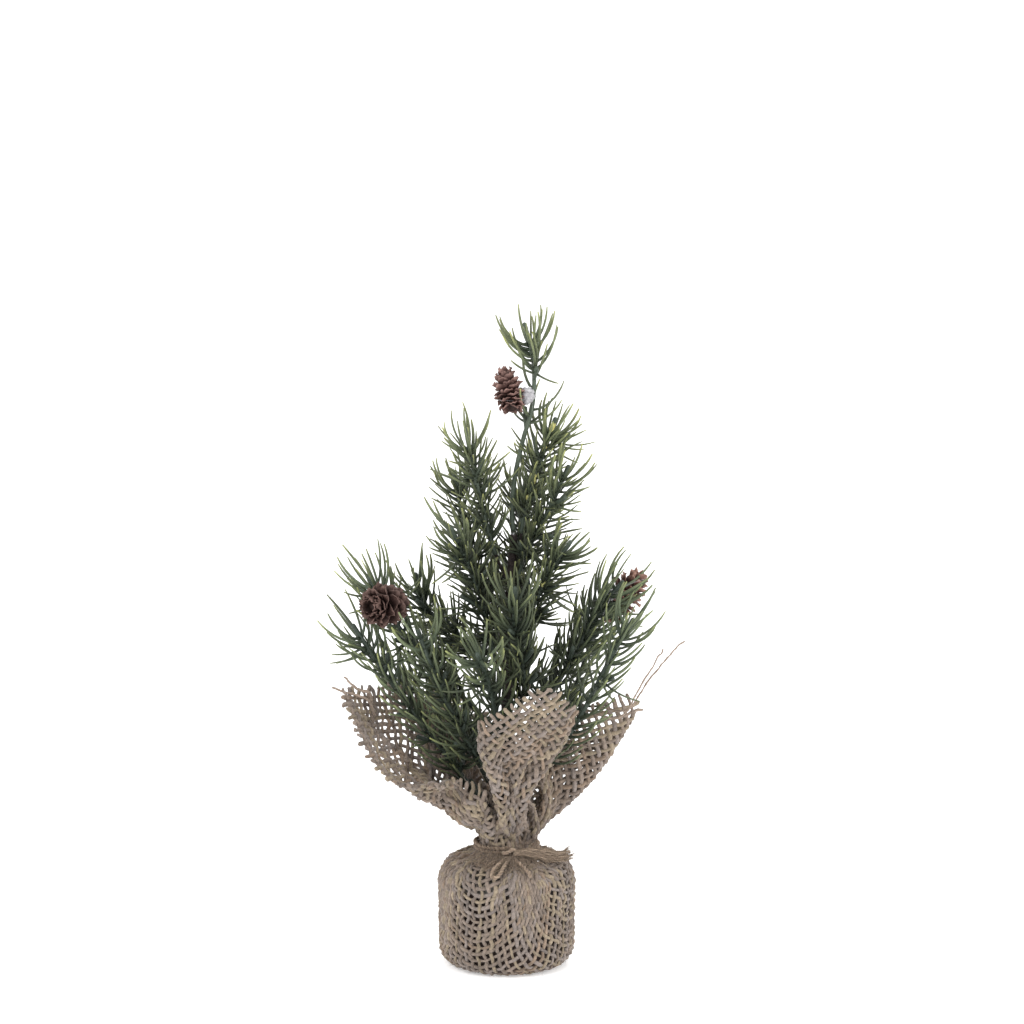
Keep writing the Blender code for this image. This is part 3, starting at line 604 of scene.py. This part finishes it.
def cone_scale(width, length, curl):
    """One woody scale lying along +X from its foot, its thin edge curled up and out (+Z)."""
    u = np.linspace(-1, 1, SCALE_COLUMNS)[None, :]
    v = np.linspace(0, 1, SCALE_ROWS)[:, None]
    half = width * 0.5 * np.interp(v, (0, 0.35, 0.75, 1), (0.42, 0.85, 1.0, 0.62))
    x = length * (v - 0.16 * v * u**2)
    y = half * u
    z = (curl * length * v**2.2 - 0.22 * width * (1 - u**2) * (0.4 + 0.6 * v)
         + 0.05 * width * np.sin(5 * u) * v)
    top = np.stack([x + 0 * u, y, z], axis=-1)
    thick = SCALE_THICKNESS * np.interp(v, (0, 0.6, 1), (1.0, 0.8, 0.35)) + 0 * u
    bottom = top - np.stack([0 * thick, 0 * thick, thick], axis=-1)
    return top, bottom


def grid_faces(rows, columns):
    """Faces of a closed slab: a top grid, a bottom grid and the rim between them."""
    low = rows * columns
    grid = np.arange(low).reshape(rows, columns)
    top = np.stack([grid[:-1, :-1], grid[:-1, 1:], grid[1:, 1:], grid[1:, :-1]], axis=-1).reshape(-1, 4)
    rim = np.concatenate([grid[0], grid[1:, -1], grid[-1, -2::-1], grid[-2:0:-1, 0]])
    after = np.roll(rim, -1)
    sides = np.stack([after, rim, rim + low, after + low], axis=-1)
    return np.concatenate([top, top[:, ::-1] + low, sides])


def cone(name, look, rng, obstacles):
    """Overlapping scales in a golden-angle spiral on a woody core."""
    body, axis, half_length, radius, tint = CONES[name]
    centre = middle_of(f"cone_{name}")
    axis = unit(np.array(axis))
    across = unit(np.cross(axis, (0.0, 0.0, 1.0)))
    up = np.cross(axis, across)
    pile = Pile()
    t = np.linspace(-0.95, 0.8, 12)
    core = centre + axis * (t * half_length)[:, None]
    pile.tubes(core[None], (0.45 * radius * np.sqrt(1 - t**2))[None], 12, srgb("2b1b16"))
    faces = grid_faces(SCALE_ROWS, SCALE_COLUMNS)
    rise = np.linspace(0, 1, SCALE_ROWS)[:, None]
    # Each scale is painted from shade at its foot to a highlight at its edge, times the cone's tint.
    shade = interp_rows(np.tile(np.repeat(rise, SCALE_COLUMNS), 2), SCALE_STOPS, SCALE_COLOURS_WITH_PAINTED_LIGHT) * tint
    for k in range(SCALE_COUNT):
        share = k / (SCALE_COUNT - 1)
        place = -0.86 + 1.62 * share
        girth = math.sqrt(max(0.05, 1 - place**2))
        angle = k * GOLDEN_ANGLE + rng.normal(0, 0.06)
        out = math.cos(angle) * across + math.sin(angle) * up
        around = np.cross(axis, out)
        lift = math.radians(np.interp(share, (0, 0.5, 1), (-8, 38, 78))) + rng.normal(0, 0.06)
        forward = math.cos(lift) * out + math.sin(lift) * axis
        normal = -math.sin(lift) * out + math.cos(lift) * axis
        reach = radius * (0.26 + 0.74 * girth) * rng.normal(1, 0.05)
        width = radius * np.interp(share, (0, 0.4, 1), (0.84, 0.92, 0.44)) * rng.normal(1, 0.08)
        curl = np.interp(share, (0, 0.6, 1), (-0.30, -0.12, 0.05))
        top, bottom = cone_scale(width, reach * 0.92, curl)
        foot = centre + axis * (place * half_length * 0.86) + out * radius * 0.12
        ragged = rng.normal(0, 1, (2, *top.shape[:2])) * np.array([0.035, 0.05])[:, None, None] * radius
        for side in (top, bottom):
            side[..., 0] += ragged[0] * rise
            side[..., 2] += ragged[1] * rise
        points = np.concatenate([top.reshape(-1, 3), bottom.reshape(-1, 3)])
        placed = foot + points[:, :1] * forward + points[:, 1:2] * around + points[:, 2:3] * normal
        pile.add(placed, [faces], shade * rng.normal(1, 0.12))
    pile.piece(f"cone_{name}_scales", look, "cone_scales", body, [f"cone_{name}"])
    obstacles.cones.append((body, centre, axis, half_length, radius))


def glue_drop(name, look, rng):
    """Hot glue squeezed out between a spray's stem and its cone, with the fine strands it leaves."""
    body = CONES[name][0]
    bead = middle_of(f"glue_bead_{name}")
    way = unit(middle_of(f"cone_{name}") - bead)
    route = spray_route(body)
    stem = route[np.linalg.norm(route - bead, axis=1).argmin()]
    pile = Pile()
    size = 0.0025 if name == "top" else 0.0014
    for k in range(4):
        middle = bead + rng.normal(0, 0.0005, 3) + np.array([0, 0, 0.5 * size * (k - 1.5)])
        line = middle + np.linspace(-0.8, 1.3, 8)[:, None] * size * way
        sizes = size * np.sqrt(1 - np.linspace(-0.85, 0.85, 8)**2) * rng.normal(1, 0.12, 8)
        sizes = sizes * (1.0, 0.85, 0.9, 0.7)[k]
        pile.tubes(line[None], sizes[None], 10, srgb("dedcda"))
    count = 7
    ways = unit(rng.normal(0, 1, (count, 3)) + (0, -0.5, 0))
    lengths = rng.uniform(0.006, 0.020, count)
    lines, sizes = fibres(np.repeat(stem[None], count, axis=0), ways, lengths, 0.00007, rng)
    pile.tubes(lines, sizes, 4, srgb("e6e5e4"))
    pile.piece(f"glue_drop_{name}", look, "hot_glue", body, [f"glue_bead_{name}"])


# ---- burlap

PITCH = 0.0033  # between neighbouring yarns
ROWS = (-38, 35)  # yarns on each side of the middle of the base, one way
COLUMNS = (-34, 29)  # and the other
CLOTH_TURN = math.radians(-25)
YARN_RADIUS = 0.00088
TAUT_SHARE = 0.88  # of a yarn's thickness where it is pulled tight round the cup
YARN_FLATNESS = 0.84
CRIMP = 0.00050  # how far a yarn passes over or under the middle of the cloth
LOCK = 0.0018  # the shortest diagonal between crossings that the yarns' thickness lets through
BASE_OPENING = 1.25  # under the cup, where the burlap is drawn open
BASE_REACH = 0.0200  # from the middle of the cloth
CLOTH_STEPS = 400
CLOTH_HOLD = 0.01

# Each corner of the cloth stands up as a petal. Azimuth: handles and tip of its spine (out, up, aside),
# the twist of its tip, the turn of its two sides halfway and at the tip, half the width between the
# folds, how much the gathers open, and how firmly it keeps to the guide
PETALS = {
    290: (((0.0180, 0.072, -0.006), (0.0310, 0.100, -0.008), (0.0470, 0.1345, -0.001)),
         0, (140, 125), (120, 80), (0.0020, 0.0155), 0.42, 2.5),
    20: (((0.0225, 0.070, -0.003), (0.0400, 0.088, -0.006), (0.0570, 0.1130, -0.004)),
         0, (98, 115), (104, 110), (0.0035, 0.0050), 0.80, 2.5),
    110: (((0.0250, 0.070, -0.003), (0.0410, 0.076, -0.009), (0.0530, 0.0880, -0.012)),
         0, (80, 80), (40, 40), (0.0060, 0.0130), 0.50, 1.0),
    200: (((0.0240, 0.077, 0.0), (0.0510, 0.090, 0.0), (0.0790, 0.1270, 0.0)),
         -28, (75, 80), (20, 0), (0.0050, 0.0060), 0.50, 2.5),
}


def ease(x):
    x = np.clip(x, 0, 1)
    return x * x * (3 - 2 * x)


def arc_points(centre, radius, start, end, count):
    angles = np.radians(np.linspace(start, end, count))
    return [(centre[0] + radius * math.cos(a), centre[1] + radius * math.sin(a)) for a in angles]


def bag_profile():
    """Distance from the axis and height of the surface the cloth lies on, from the base to the neck."""
    wall, foot, shoulder = 0.0292, 0.0080, 0.0105
    return np.array([(0, 0.0009), *arc_points((wall - foot, 0.0009 + foot), foot, -90, 0, 7),
                     *arc_points((wall + 0.0003 - shoulder, 0.0370), shoulder, 0, 62, 8),
                     (0.0155, 0.0498), (0.0130, 0.0512), (0.0122, 0.0530), (0.0120, 0.0575)])


def bezier(v, points):
    a, b, c, d = (np.array(p) for p in points)
    v = v[..., None]
    place = (1 - v)**3 * a + 3 * (1 - v)**2 * v * b + 3 * (1 - v) * v**2 * c + v**3 * d
    slope = 3 * (1 - v)**2 * (b - a) + 6 * (1 - v) * v * (c - b) + 3 * v**2 * (d - c)
    return place, unit(slope)


def petal_places(azimuth, rise, reach, aside, diagonal):
    """Where the crossings above the neck start: rise and aside are the cloth's own distances past the
    neck and from the petal's middle, reach the width of cloth there, diagonal how far it is on the bias."""
    spine, roll, halfway, tip, flat, spread, _ = PETALS[azimuth]
    width = 0.0094 + spread * rise
    across = aside * np.minimum(width / reach, 1)
    along = rise * (1 + 0.20 * diagonal * np.exp(-rise / 0.05))
    handles = [(0.0112, 0.0575, 0.0), *spine]
    shares = np.linspace(0, 1, 80)
    lengths = arc_lengths(bezier(shares, handles)[0])
    v = np.interp(along, lengths, shares)
    middle, slope = bezier(v, handles)
    middle = middle + slope * np.maximum(along - lengths[-1], 0)[:, None]
    inward = unit(np.stack([-slope[:, 1], slope[:, 0]], axis=-1))
    side = (aside > 0).astype(int)
    halfway, tip = (np.radians(np.array(pair, float))[side] for pair in (halfway, tip))
    fold = math.pi / 4 + (halfway - math.pi / 4) * ease(v / 0.25)
    fold = fold + (tip - fold) * ease((v - 0.35) / 0.45)
    plain = flat[0] * ease(v / 0.25) + (flat[1] - flat[0]) * ease((v - 0.38) / 0.45)
    bend = 0.0094 - 0.0024 * ease(v / 0.25) + 0.006 * ease((v - 0.35) / 0.4)
    samples = 16
    a, b = np.zeros(len(v)), np.zeros(len(v))
    for k in range(samples):
        turn = fold * ease((np.abs(across) * (k + 0.5) / samples - plain) / bend)
        a += np.cos(turn) * across / samples
        b += np.sin(turn) * np.abs(across) / samples
    twist = math.radians(roll) * ease((v - 0.1) / 0.6)
    a, b = a * np.cos(twist) - b * np.sin(twist), a * np.sin(twist) + b * np.cos(twist)
    turned = math.radians(azimuth)
    out = np.array([math.cos(turned), math.sin(turned), 0])
    cross = np.array([-math.sin(turned), math.cos(turned), 0])
    return ((middle[:, 0] + b * inward[:, 0])[:, None] * out + (a + middle[:, 2])[:, None] * cross
            + (middle[:, 1] + b * inward[:, 1])[:, None] * np.array([0, 0, 1.0]))


def cloth_start(profile):
    """The crossings' first places, how far each is along the bag, how firmly it is held, and the pitch."""
    rows = np.arange(ROWS[0], ROWS[1] + 1) * PITCH
    columns = np.arange(COLUMNS[0], COLUMNS[1] + 1) * PITCH
    x, y = np.meshgrid(rows, columns, indexing="ij")
    rho, phi = np.hypot(x, y), np.arctan2(y, x) + CLOTH_TURN
    azimuths = np.array(list(PETALS))
    apart = (phi[..., None] - np.radians(azimuths) + math.pi) % (2 * math.pi) - math.pi
    nearest = np.abs(apart).argmin(axis=-1)
    delta = np.take_along_axis(apart, nearest[..., None], axis=-1)[..., 0]
    diagonal = np.cos(2 * delta)**2
    stretch = 1 + 0.22 * diagonal
    base = BASE_OPENING * BASE_REACH
    along = np.where(rho < BASE_REACH, BASE_OPENING * rho, base + (rho - BASE_REACH) * stretch)
    pitch = np.where(rho < BASE_REACH, BASE_OPENING * PITCH, PITCH)[..., None]
    lengths = arc_lengths(profile)
    out, up = (np.interp(along, lengths, profile[:, k]) for k in (0, 1))
    places = np.stack([out * np.cos(phi), out * np.sin(phi), up], axis=-1)
    hold = np.zeros(rho.shape)
    for k, azimuth in enumerate(azimuths):
        here = (nearest == k) & (along > lengths[-1])
        neck = BASE_REACH + (lengths[-1] - base) / stretch[here]
        straight = ease((rho[here] - neck) / 0.045)
        rise = rho[here] * (1 - straight + np.cos(delta[here]) * straight) - neck
        left = rho[nearest == k].max() - neck - rise
        reach = np.minimum(rho[here] * math.sin(math.pi / 4), np.maximum(left, 0.003))
        places[here] = petal_places(azimuth, np.maximum(rise, 0), reach, rho[here] * np.sin(delta[here]),
                                    diagonal[here])
        hold[here] = PETALS[azimuth][-1]
    return places, along, hold, pitch


def draw_together(a, b, length, pull, press):
    """Move pairs of points so that they come closer to a length, in place."""
    gap = b - a
    size = np.linalg.norm(gap, axis=-1, keepdims=True)
    excess = size - length
    move = 0.5 * np.where(excess > 0, pull, press) * excess * gap / np.maximum(size, 1e-9)
    a += move
    b -= move


def onto_bag(places, along, profile):
    """Cloth below the neck lies on the cup, and is held in at the neck by the twine."""
    lengths = arc_lengths(profile)
    neck = lengths[-1]
    out = np.hypot(places[..., 0], places[..., 1])
    below = (along < neck + 0.003) | (places[..., 2] < profile[-1, 1])
    section = np.stack([out, places[..., 2]], axis=-1)[below][:, None]
    edges = profile[1:] - profile[:-1]
    share = np.clip(((section - profile[:-1]) * edges).sum(-1) / (edges**2).sum(-1), 0, 1)
    feet = profile[:-1] + share[..., None] * edges
    offsets = section - feet
    nearest = np.linalg.norm(offsets, axis=-1).argmin(axis=-1)
    pick = np.arange(len(nearest))
    foot, edge = feet[pick, nearest], edges[nearest]
    normal = unit(np.stack([edge[:, 1], -edge[:, 0]], axis=-1))
    away = (offsets[pick, nearest] * normal).sum(-1)
    reached = lengths[nearest] + share[pick, nearest] * np.diff(lengths)[nearest]
    loose = np.interp(neck - reached, (0.008, 0.012, 0.020, 0.030), (0, 0.0015, 0.0012, 0))
    wanted = np.where(away < 0, 0, np.minimum(away, loose))
    wanted = np.where(reached > neck - 0.008, np.clip(away, -0.0065, 0), wanted)
    moved = foot + normal * wanted[:, None]
    scale = np.ones(out.shape)
    scale[below] = moved[:, 0] / np.maximum(out[below], 1e-9)
    places[..., :2] *= scale[..., None]
    places[..., 2][below] = moved[:, 1]


def settle_cloth():
    """The crossings of a square of burlap drawn round the cup and tied: yarns keep their length, cells
    shear until they lock, and the cloth resists folding sharply."""
    profile = bag_profile()
    places, along, hold, pitch = cloth_start(profile)
    guide = places.copy()
    for step in range(CLOTH_STEPS):
        for way, rest in ((places, pitch), (places.swapaxes(0, 1), pitch.swapaxes(0, 1))):
            for start in (0, 1):
                far = way[start + 1::2]
                draw_together(way[start::2][:len(far)], far, rest[start + 1::2], 1.0, 0.6)
            for reach, share, firm in ((2, 1.0, 0.12), (4, 0.93, 0.10)):
                for start in range(2 * reach):
                    far = way[start + reach::2 * reach]
                    draw_together(way[start::2 * reach][:len(far)], far, reach * PITCH * share, 0.0, firm)
        for one, other in ((slice(None, -1), slice(1, None)), (slice(1, None), slice(None, -1))):
            for start in (0, 1):
                far = places[start + 1::2, other]
                draw_together(places[start::2][:len(far), one], far, LOCK, 0.0, 0.5)
        onto_bag(places, along, profile)
        firm = CLOTH_HOLD if step < 0.8 * CLOTH_STEPS else 0.15 * CLOTH_HOLD
        places += (guide - places) * (firm * hold)[..., None]
        out = np.hypot(places[..., 0], places[..., 1])
        inside = (out < 0.005) & (places[..., 2] > 0.05)
        places[..., :2] *= np.where(inside, 0.005 / np.maximum(out, 1e-6), 1)[..., None]
    return places


def cloth_normals(places):
    normals = unit(np.cross(np.gradient(places, axis=0), np.gradient(places, axis=1)))
    for _ in range(2):
        around = np.pad(normals, ((1, 1), (1, 1), (0, 0)), mode="edge")
        normals = unit(around[:-2, 1:-1] + around[2:, 1:-1] + around[1:-1, :-2] + around[1:-1, 2:]
                       + 2 * normals)
    return normals


def rounded(paths):
    """Each path with a point added halfway between every two, on the smooth curve through them."""
    before = np.concatenate([2 * paths[:, :1] - paths[:, 1:2], paths[:, :-2]], axis=1)
    after = np.concatenate([paths[:, 2:], 2 * paths[:, -1:] - paths[:, -2:-1]], axis=1)
    middles = (9 * (paths[:, :-1] + paths[:, 1:]) - before - after) / 16
    fine = np.empty((len(paths), 2 * paths.shape[1] - 1, 3))
    fine[:, ::2] = paths
    fine[:, 1::2] = middles
    return fine


def wander(rng, shape, reach):
    """Smooth random numbers along the last axis."""
    raw = rng.normal(0, 1, (*shape[:-1], shape[-1] + 2 * reach))
    window = np.hanning(2 * reach + 1)
    window = window / math.sqrt((window**2).sum())
    return np.apply_along_axis(lambda row: np.convolve(row, window, "valid"), -1, raw)


BURLAP_COLOURS = palette("7d7066", "897b70", "84766a", "90826f", "857a73", "8a7868")


def yarns(places, normals, over, rng):
    """Centre lines, cross directions, radii and colours of the yarns along the first axis, whose ends stick
    out as fringe."""
    paths = np.swapaxes(places + normals * (over * CRIMP)[..., None], 0, 1)[1:-1]
    normals = np.swapaxes(normals, 0, 1)[1:-1]
    count = len(paths)
    ends = []
    for last, inner in ((paths[:, 0], paths[:, 2]), (paths[:, -1], paths[:, -3])):
        way = unit(last - inner + rng.normal(0, 0.0013, last.shape))
        ends.append(last + way * rng.uniform(0.0010, 0.0034, (count, 1)))
    paths = rounded(np.concatenate([ends[0][:, None], paths, ends[1][:, None]], axis=1))
    normals = rounded(np.concatenate([normals[:, :1], normals, normals[:, -1:]], axis=1))
    points = paths.shape[1]
    shape = (count, points)
    radii = YARN_RADIUS * (1 + 0.11 * wander(rng, shape, 4) + 0.07 * rng.normal(0, 1, shape))
    radii = radii.clip(0.62 * YARN_RADIUS, 1.5 * YARN_RADIUS) * rng.normal(1, 0.08, (count, 1))
    radii = radii * np.interp(paths[..., 2], (0.050, 0.066), (TAUT_SHARE, 1.0))
    radii[:, :3] *= (0.75, 1.05, 1.05)
    radii[:, -3:] *= (1.05, 1.05, 0.75)
    paths = paths + rng.normal(0, 0.00008, paths.shape)
    tangents = unit(np.gradient(paths, axis=1))
    across = unit(np.cross(normals, tangents))
    base = BURLAP_COLOURS[rng.integers(0, len(BURLAP_COLOURS), count)]
    shade = 1 + 0.10 * wander(rng, shape, 6) + 0.05 * rng.normal(0, 1, shape)
    colours = (base[:, None] * shade[..., None]).clip(0, 1)
    return paths, (tangents, across, np.cross(tangents, across)), radii, colours


def fibres(starts, ways, lengths, radius, rng):
    """Fine hairs: centre lines that leave the given places and wander off, and their radii."""
    t = np.linspace(0, 1, 6)
    bend = rng.normal(0, 0.9, (len(starts), 3))
    lines = walk(starts, unit(ways)[:, None] + bend[:, None] * t[:, None], lengths)
    taper = np.interp(t, (0, 0.5, 1), (1.0, 0.9, 0.5))
    return lines, radius * taper * rng.uniform(0.7, 1.4, (len(starts), 1))


def burlap(look):
    """The woven sheet, its fuzz and loose threads; the crossings of its yarns are handed back."""
    rng = np.random.default_rng(7)
    places = settle_cloth()
    normals = cloth_normals(places)
    i, j = np.indices(places.shape[:2])
    over = np.where((i + j) % 2 == 0, 1.0, -1.0)
    pieces, hairs = [], Pile()
    for name, ways in (("warp", (places, normals, over)),
                       ("weft", (places.swapaxes(0, 1), normals.swapaxes(0, 1), -over.T))):
        paths, directions, radii, colours = yarns(*ways, rng)
        pile = Pile()
        pile.tubes(paths, radii, 6, colours, flat=YARN_FLATNESS, frames=directions)
        replaced = [node for node in frame["nodes"] if node.startswith("burlap")] if name == "warp" else ()
        pieces.append(pile.piece(f"burlap_{name}", look, "burlap", "root", replaced))
        picks = rng.integers(0, paths.shape[0] * paths.shape[1], 2200)
        starts = paths.reshape(-1, 3)[picks]
        ways = unit(rng.normal(0, 1, (len(picks), 3))) + 0.8 * directions[0].reshape(-1, 3)[picks]
        lengths = rng.uniform(0.0018, 0.0050, len(picks))
        lines, sizes = fibres(starts + 0.5 * YARN_RADIUS * unit(ways), ways, lengths, 0.000075, rng)
        lines[..., 2] = lines[..., 2].clip(0.0003, None)
        hairs.tubes(lines, sizes, 3, BURLAP_COLOURS[rng.integers(0, 6, len(lines))][:, None] * 1.25)
    pieces.append(hairs.piece("burlap_fuzz", look, "burlap", "root"))
    pieces.append(stray_threads(places, look))
    return places.reshape(-1, 3)


# Yarns that have come loose at the tips of the left and right petals, past where they start, in millimetres
STRAYS = (
    ((-60.0, -13.0, 126.2), (-65.0, -13.5, 127.8), (-70.9, -14.0, 133.4)),
    ((-61.0, -13.0, 123.2), (-69.0, -13.5, 126.2), (-76.7, -14.0, 129.0)),
    ((50.0, -12.0, 115.0), (59.0, -14.0, 130.0), (68.5, -16.0, 147.0)),
    ((53.0, -10.0, 118.0), (62.0, -12.0, 131.0), (72.0, -13.0, 144.0), (77.7, -13.0, 150.0)),
)
LEFT_FRAY = (-0.0520, -0.0115, 0.1200)


def stray_threads(places, look):
    crossings = places.reshape(-1, 3)
    edge = crossings[np.linalg.norm(crossings - LEFT_FRAY, axis=1).argmin()]
    starts = (edge, edge + (0.0015, -0.001, -0.002), places[-1, -8], places[-1, -6])
    rng = np.random.default_rng(11)
    pile = Pile()
    for start, route in zip(starts, STRAYS):
        line = smooth_route([start, *np.array(route) / 1000], 0.0012)
        shake = wander(rng, (3, len(line)), 2).T * np.linspace(0, 1, len(line))[:, None]
        line = line + 0.00022 * shake
        thick = 0.00070 if line[0, 0] < 0 else 0.00048
        sizes = thick * rng.normal(1, 0.12, len(line)) * np.linspace(1.1, 0.7, len(line))
        pile.tubes(line[None], sizes[None], 6, srgb("988779"))
    return pile.piece("burlap_strays", look, "burlap", "root")


# ---- twine

TWINE_COLOURS = palette("857363", "958371", "7a6a58")
PLY_RADIUS = 0.00052
TWINE_LIFT = 0.0038  # of its centre line, above the surface the cloth lies on
PLY_TURN = 0.0034  # the length of twine in which its two plies go once round each other


# The loop, whose legs hang close together in front, and the short end beside it: x and y in millimetres
TWINE_ENDS = {
    "twine_loop": ((0.6, -17.8), (-2.2, -21.0), (-4.6, -24.0), (-6.2, -26.6), (-6.4, -28.4), (-4.8, -29.2),
                   (-3.0, -28.0), (-1.2, -24.5), (0.4, -20.8), (1.4, -18.0)),
    "twine_end_front": ((2.6, -18.0), (5.2, -21.0), (7.6, -23.8), (9.8, -26.2), (10.6, -27.6)),
}
TAIL_ROUTE = ((3.4, -17.6, 54.5), (9.0, -18.2, 55.2), (15.0, -17.6, 54.5), (21.0, -15.6, 52.8),
              (25.5, -12.6, 52.2), (28.8, -9.6, 53.2))


def plies(pile, route, rng):
    """Two-ply twine along a route."""
    line = smooth_route(route, 0.00042)
    along = arc_lengths(line)
    _, across, up = route_frame(line)
    for k in range(2):
        ply = line + 0.82 * PLY_RADIUS * spokes(2 * math.pi * along / PLY_TURN + k * math.pi, across, up)
        sizes = PLY_RADIUS * (1 + 0.10 * wander(rng, (len(line),), 3))
        shade = TWINE_COLOURS[k] * (1 + 0.10 * wander(rng, (len(line),), 5))[:, None]
        pile.tubes(ply[None], sizes[None], 7, shade[None].clip(0, 1))


def shoulder_top(x, y):
    """The height of twine that lies on the bag's shoulder."""
    side = bag_profile()[8:]
    slope = unit(np.gradient(side, axis=0))
    raised = (side + TWINE_LIFT * np.stack([slope[:, 1], -slope[:, 0]], axis=-1))[::-1]
    return np.interp(np.hypot(x, y), raised[:, 0], raised[:, 1])


def twine(look):
    rng = np.random.default_rng(21)
    pile = Pile()
    turns = np.linspace(0, 2.0, 60)
    angle = math.radians(-84) + 2 * math.pi * turns
    reach = 0.0139 + 0.0002 * np.sin(5 * angle)
    tie = np.stack([reach * np.cos(angle), reach * np.sin(angle), 0.0520 + 0.0019 * turns], axis=-1)
    plies(pile, tie, rng)
    pile.piece("twine_turns", look, "jute_twine", "root", ["twine_tie"])

    # the knot: a small overhand turn round itself
    pile = Pile()
    t = np.linspace(0, 2 * math.pi, 26)
    knot = np.stack([0.0012 + 0.0019 * np.sin(t) + 0.0010 * np.sin(2 * t),
                     -0.0172 - 0.0015 * np.cos(2 * t + 0.6),
                     0.0536 + 0.0021 * np.cos(t) + 0.0006 * np.sin(3 * t)], axis=-1)
    plies(pile, knot, rng)
    pile.piece("twine_overhand", look, "jute_twine", "root", ["twine_knot"])

    for name, places in TWINE_ENDS.items():
        pile = Pile()
        places = np.array(places) / 1000
        route = np.column_stack([places, shoulder_top(places[:, 0], places[:, 1])])
        plies(pile, route, rng)
        pile.piece(f"{name}_plies", look, "jute_twine", "root", [name])

    # the long tail has come untwisted into a brush
    pile = Pile()
    tail = smooth_route(np.array(TAIL_ROUTE) / 1000, 0.0009)
    along = arc_lengths(tail) / arc_lengths(tail)[-1]
    _, across, up = route_frame(tail)
    count = 190
    spread = np.interp(along, (0, 0.2, 0.55, 0.8, 1), (0.0008, 0.0016, 0.0025, 0.0024, 0.0034))
    angle, share = rng.uniform(0, 2 * math.pi, count), np.sqrt(rng.uniform(0, 1, count))
    side = ((np.cos(angle) * share)[:, None, None] * across
            + (np.sin(angle) * share * 0.75)[:, None, None] * up)
    lines = tail + side * spread[:, None] + 0.00022 * wander(rng, (count, len(tail)), 3)[..., None]
    ends = rng.integers(int(0.8 * len(tail)), len(tail) + 1, count)
    for k in range(count):
        pile.tubes(lines[k:k + 1, :ends[k]], 0.00013 * rng.uniform(0.7, 1.3), 4,
                   TWINE_COLOURS[k % 3] * rng.normal(1.05, 0.12), cap=0.3)

    # loose fibres that lie over the shoulder below the tie
    count = 260
    angle = math.radians(-86) + rng.normal(0, 0.42, count)
    start = rng.uniform(0.0150, 0.0200, count)
    reach = start + rng.uniform(0.003, 0.010, count)
    t = np.linspace(0, 1, 8)
    out = start[:, None] + (reach - start)[:, None] * t
    angle = angle[:, None] + 0.10 * wander(rng, (count, 8), 3) * t
    x, y = out * np.cos(angle), out * np.sin(angle)
    height = shoulder_top(x, y) - 0.0006 + 0.0006 * np.abs(wander(rng, (count, 8), 2)) + 0.0012 * (1 - t)
    pile.tubes(np.stack([x, y, height], axis=-1), 0.00010 * rng.uniform(0.6, 1.3, (count, 1)), 3,
               TWINE_COLOURS[rng.integers(0, 3, count)][:, None], cap=0.3)
    pile.piece("twine_brush", look, "jute_twine", "root", ["twine_tail_right"])


# ---- the whole tree


def repaint(node, look):
    materials = frame["nodes"][node].data.materials
    materials.clear()
    materials.append(look)



def main():
    camera()
    studio()
    needle_look, tape, glue, scales = (make_look(name) for name in
                                       ("moulded_needles", "paper_tape", "hot_glue", "cone_scales"))
    repaint("pot_shell", make_look("cup_plastic"))
    repaint("cement_ballast", make_look("cement"))
    repaint("trunk_rod", make_look("steel_wire"))
    for node in frame["nodes"]:
        if node.endswith("_wire"):
            repaint(node, tape)
    trunk(tape)
    cloth = burlap(make_look("burlap"))
    twine(make_look("jute"))
    obstacles = Obstacles(cloth)
    for k, name in enumerate(CONES):
        cone(name, scales, np.random.default_rng(40 + k), obstacles)
    for k, name in enumerate(SPRAYS):
        spray(name, needle_look, np.random.default_rng(100 + k), obstacles)
    for k, name in enumerate(CONES):
        glue_drop(name, glue, np.random.default_rng(60 + k))


main()
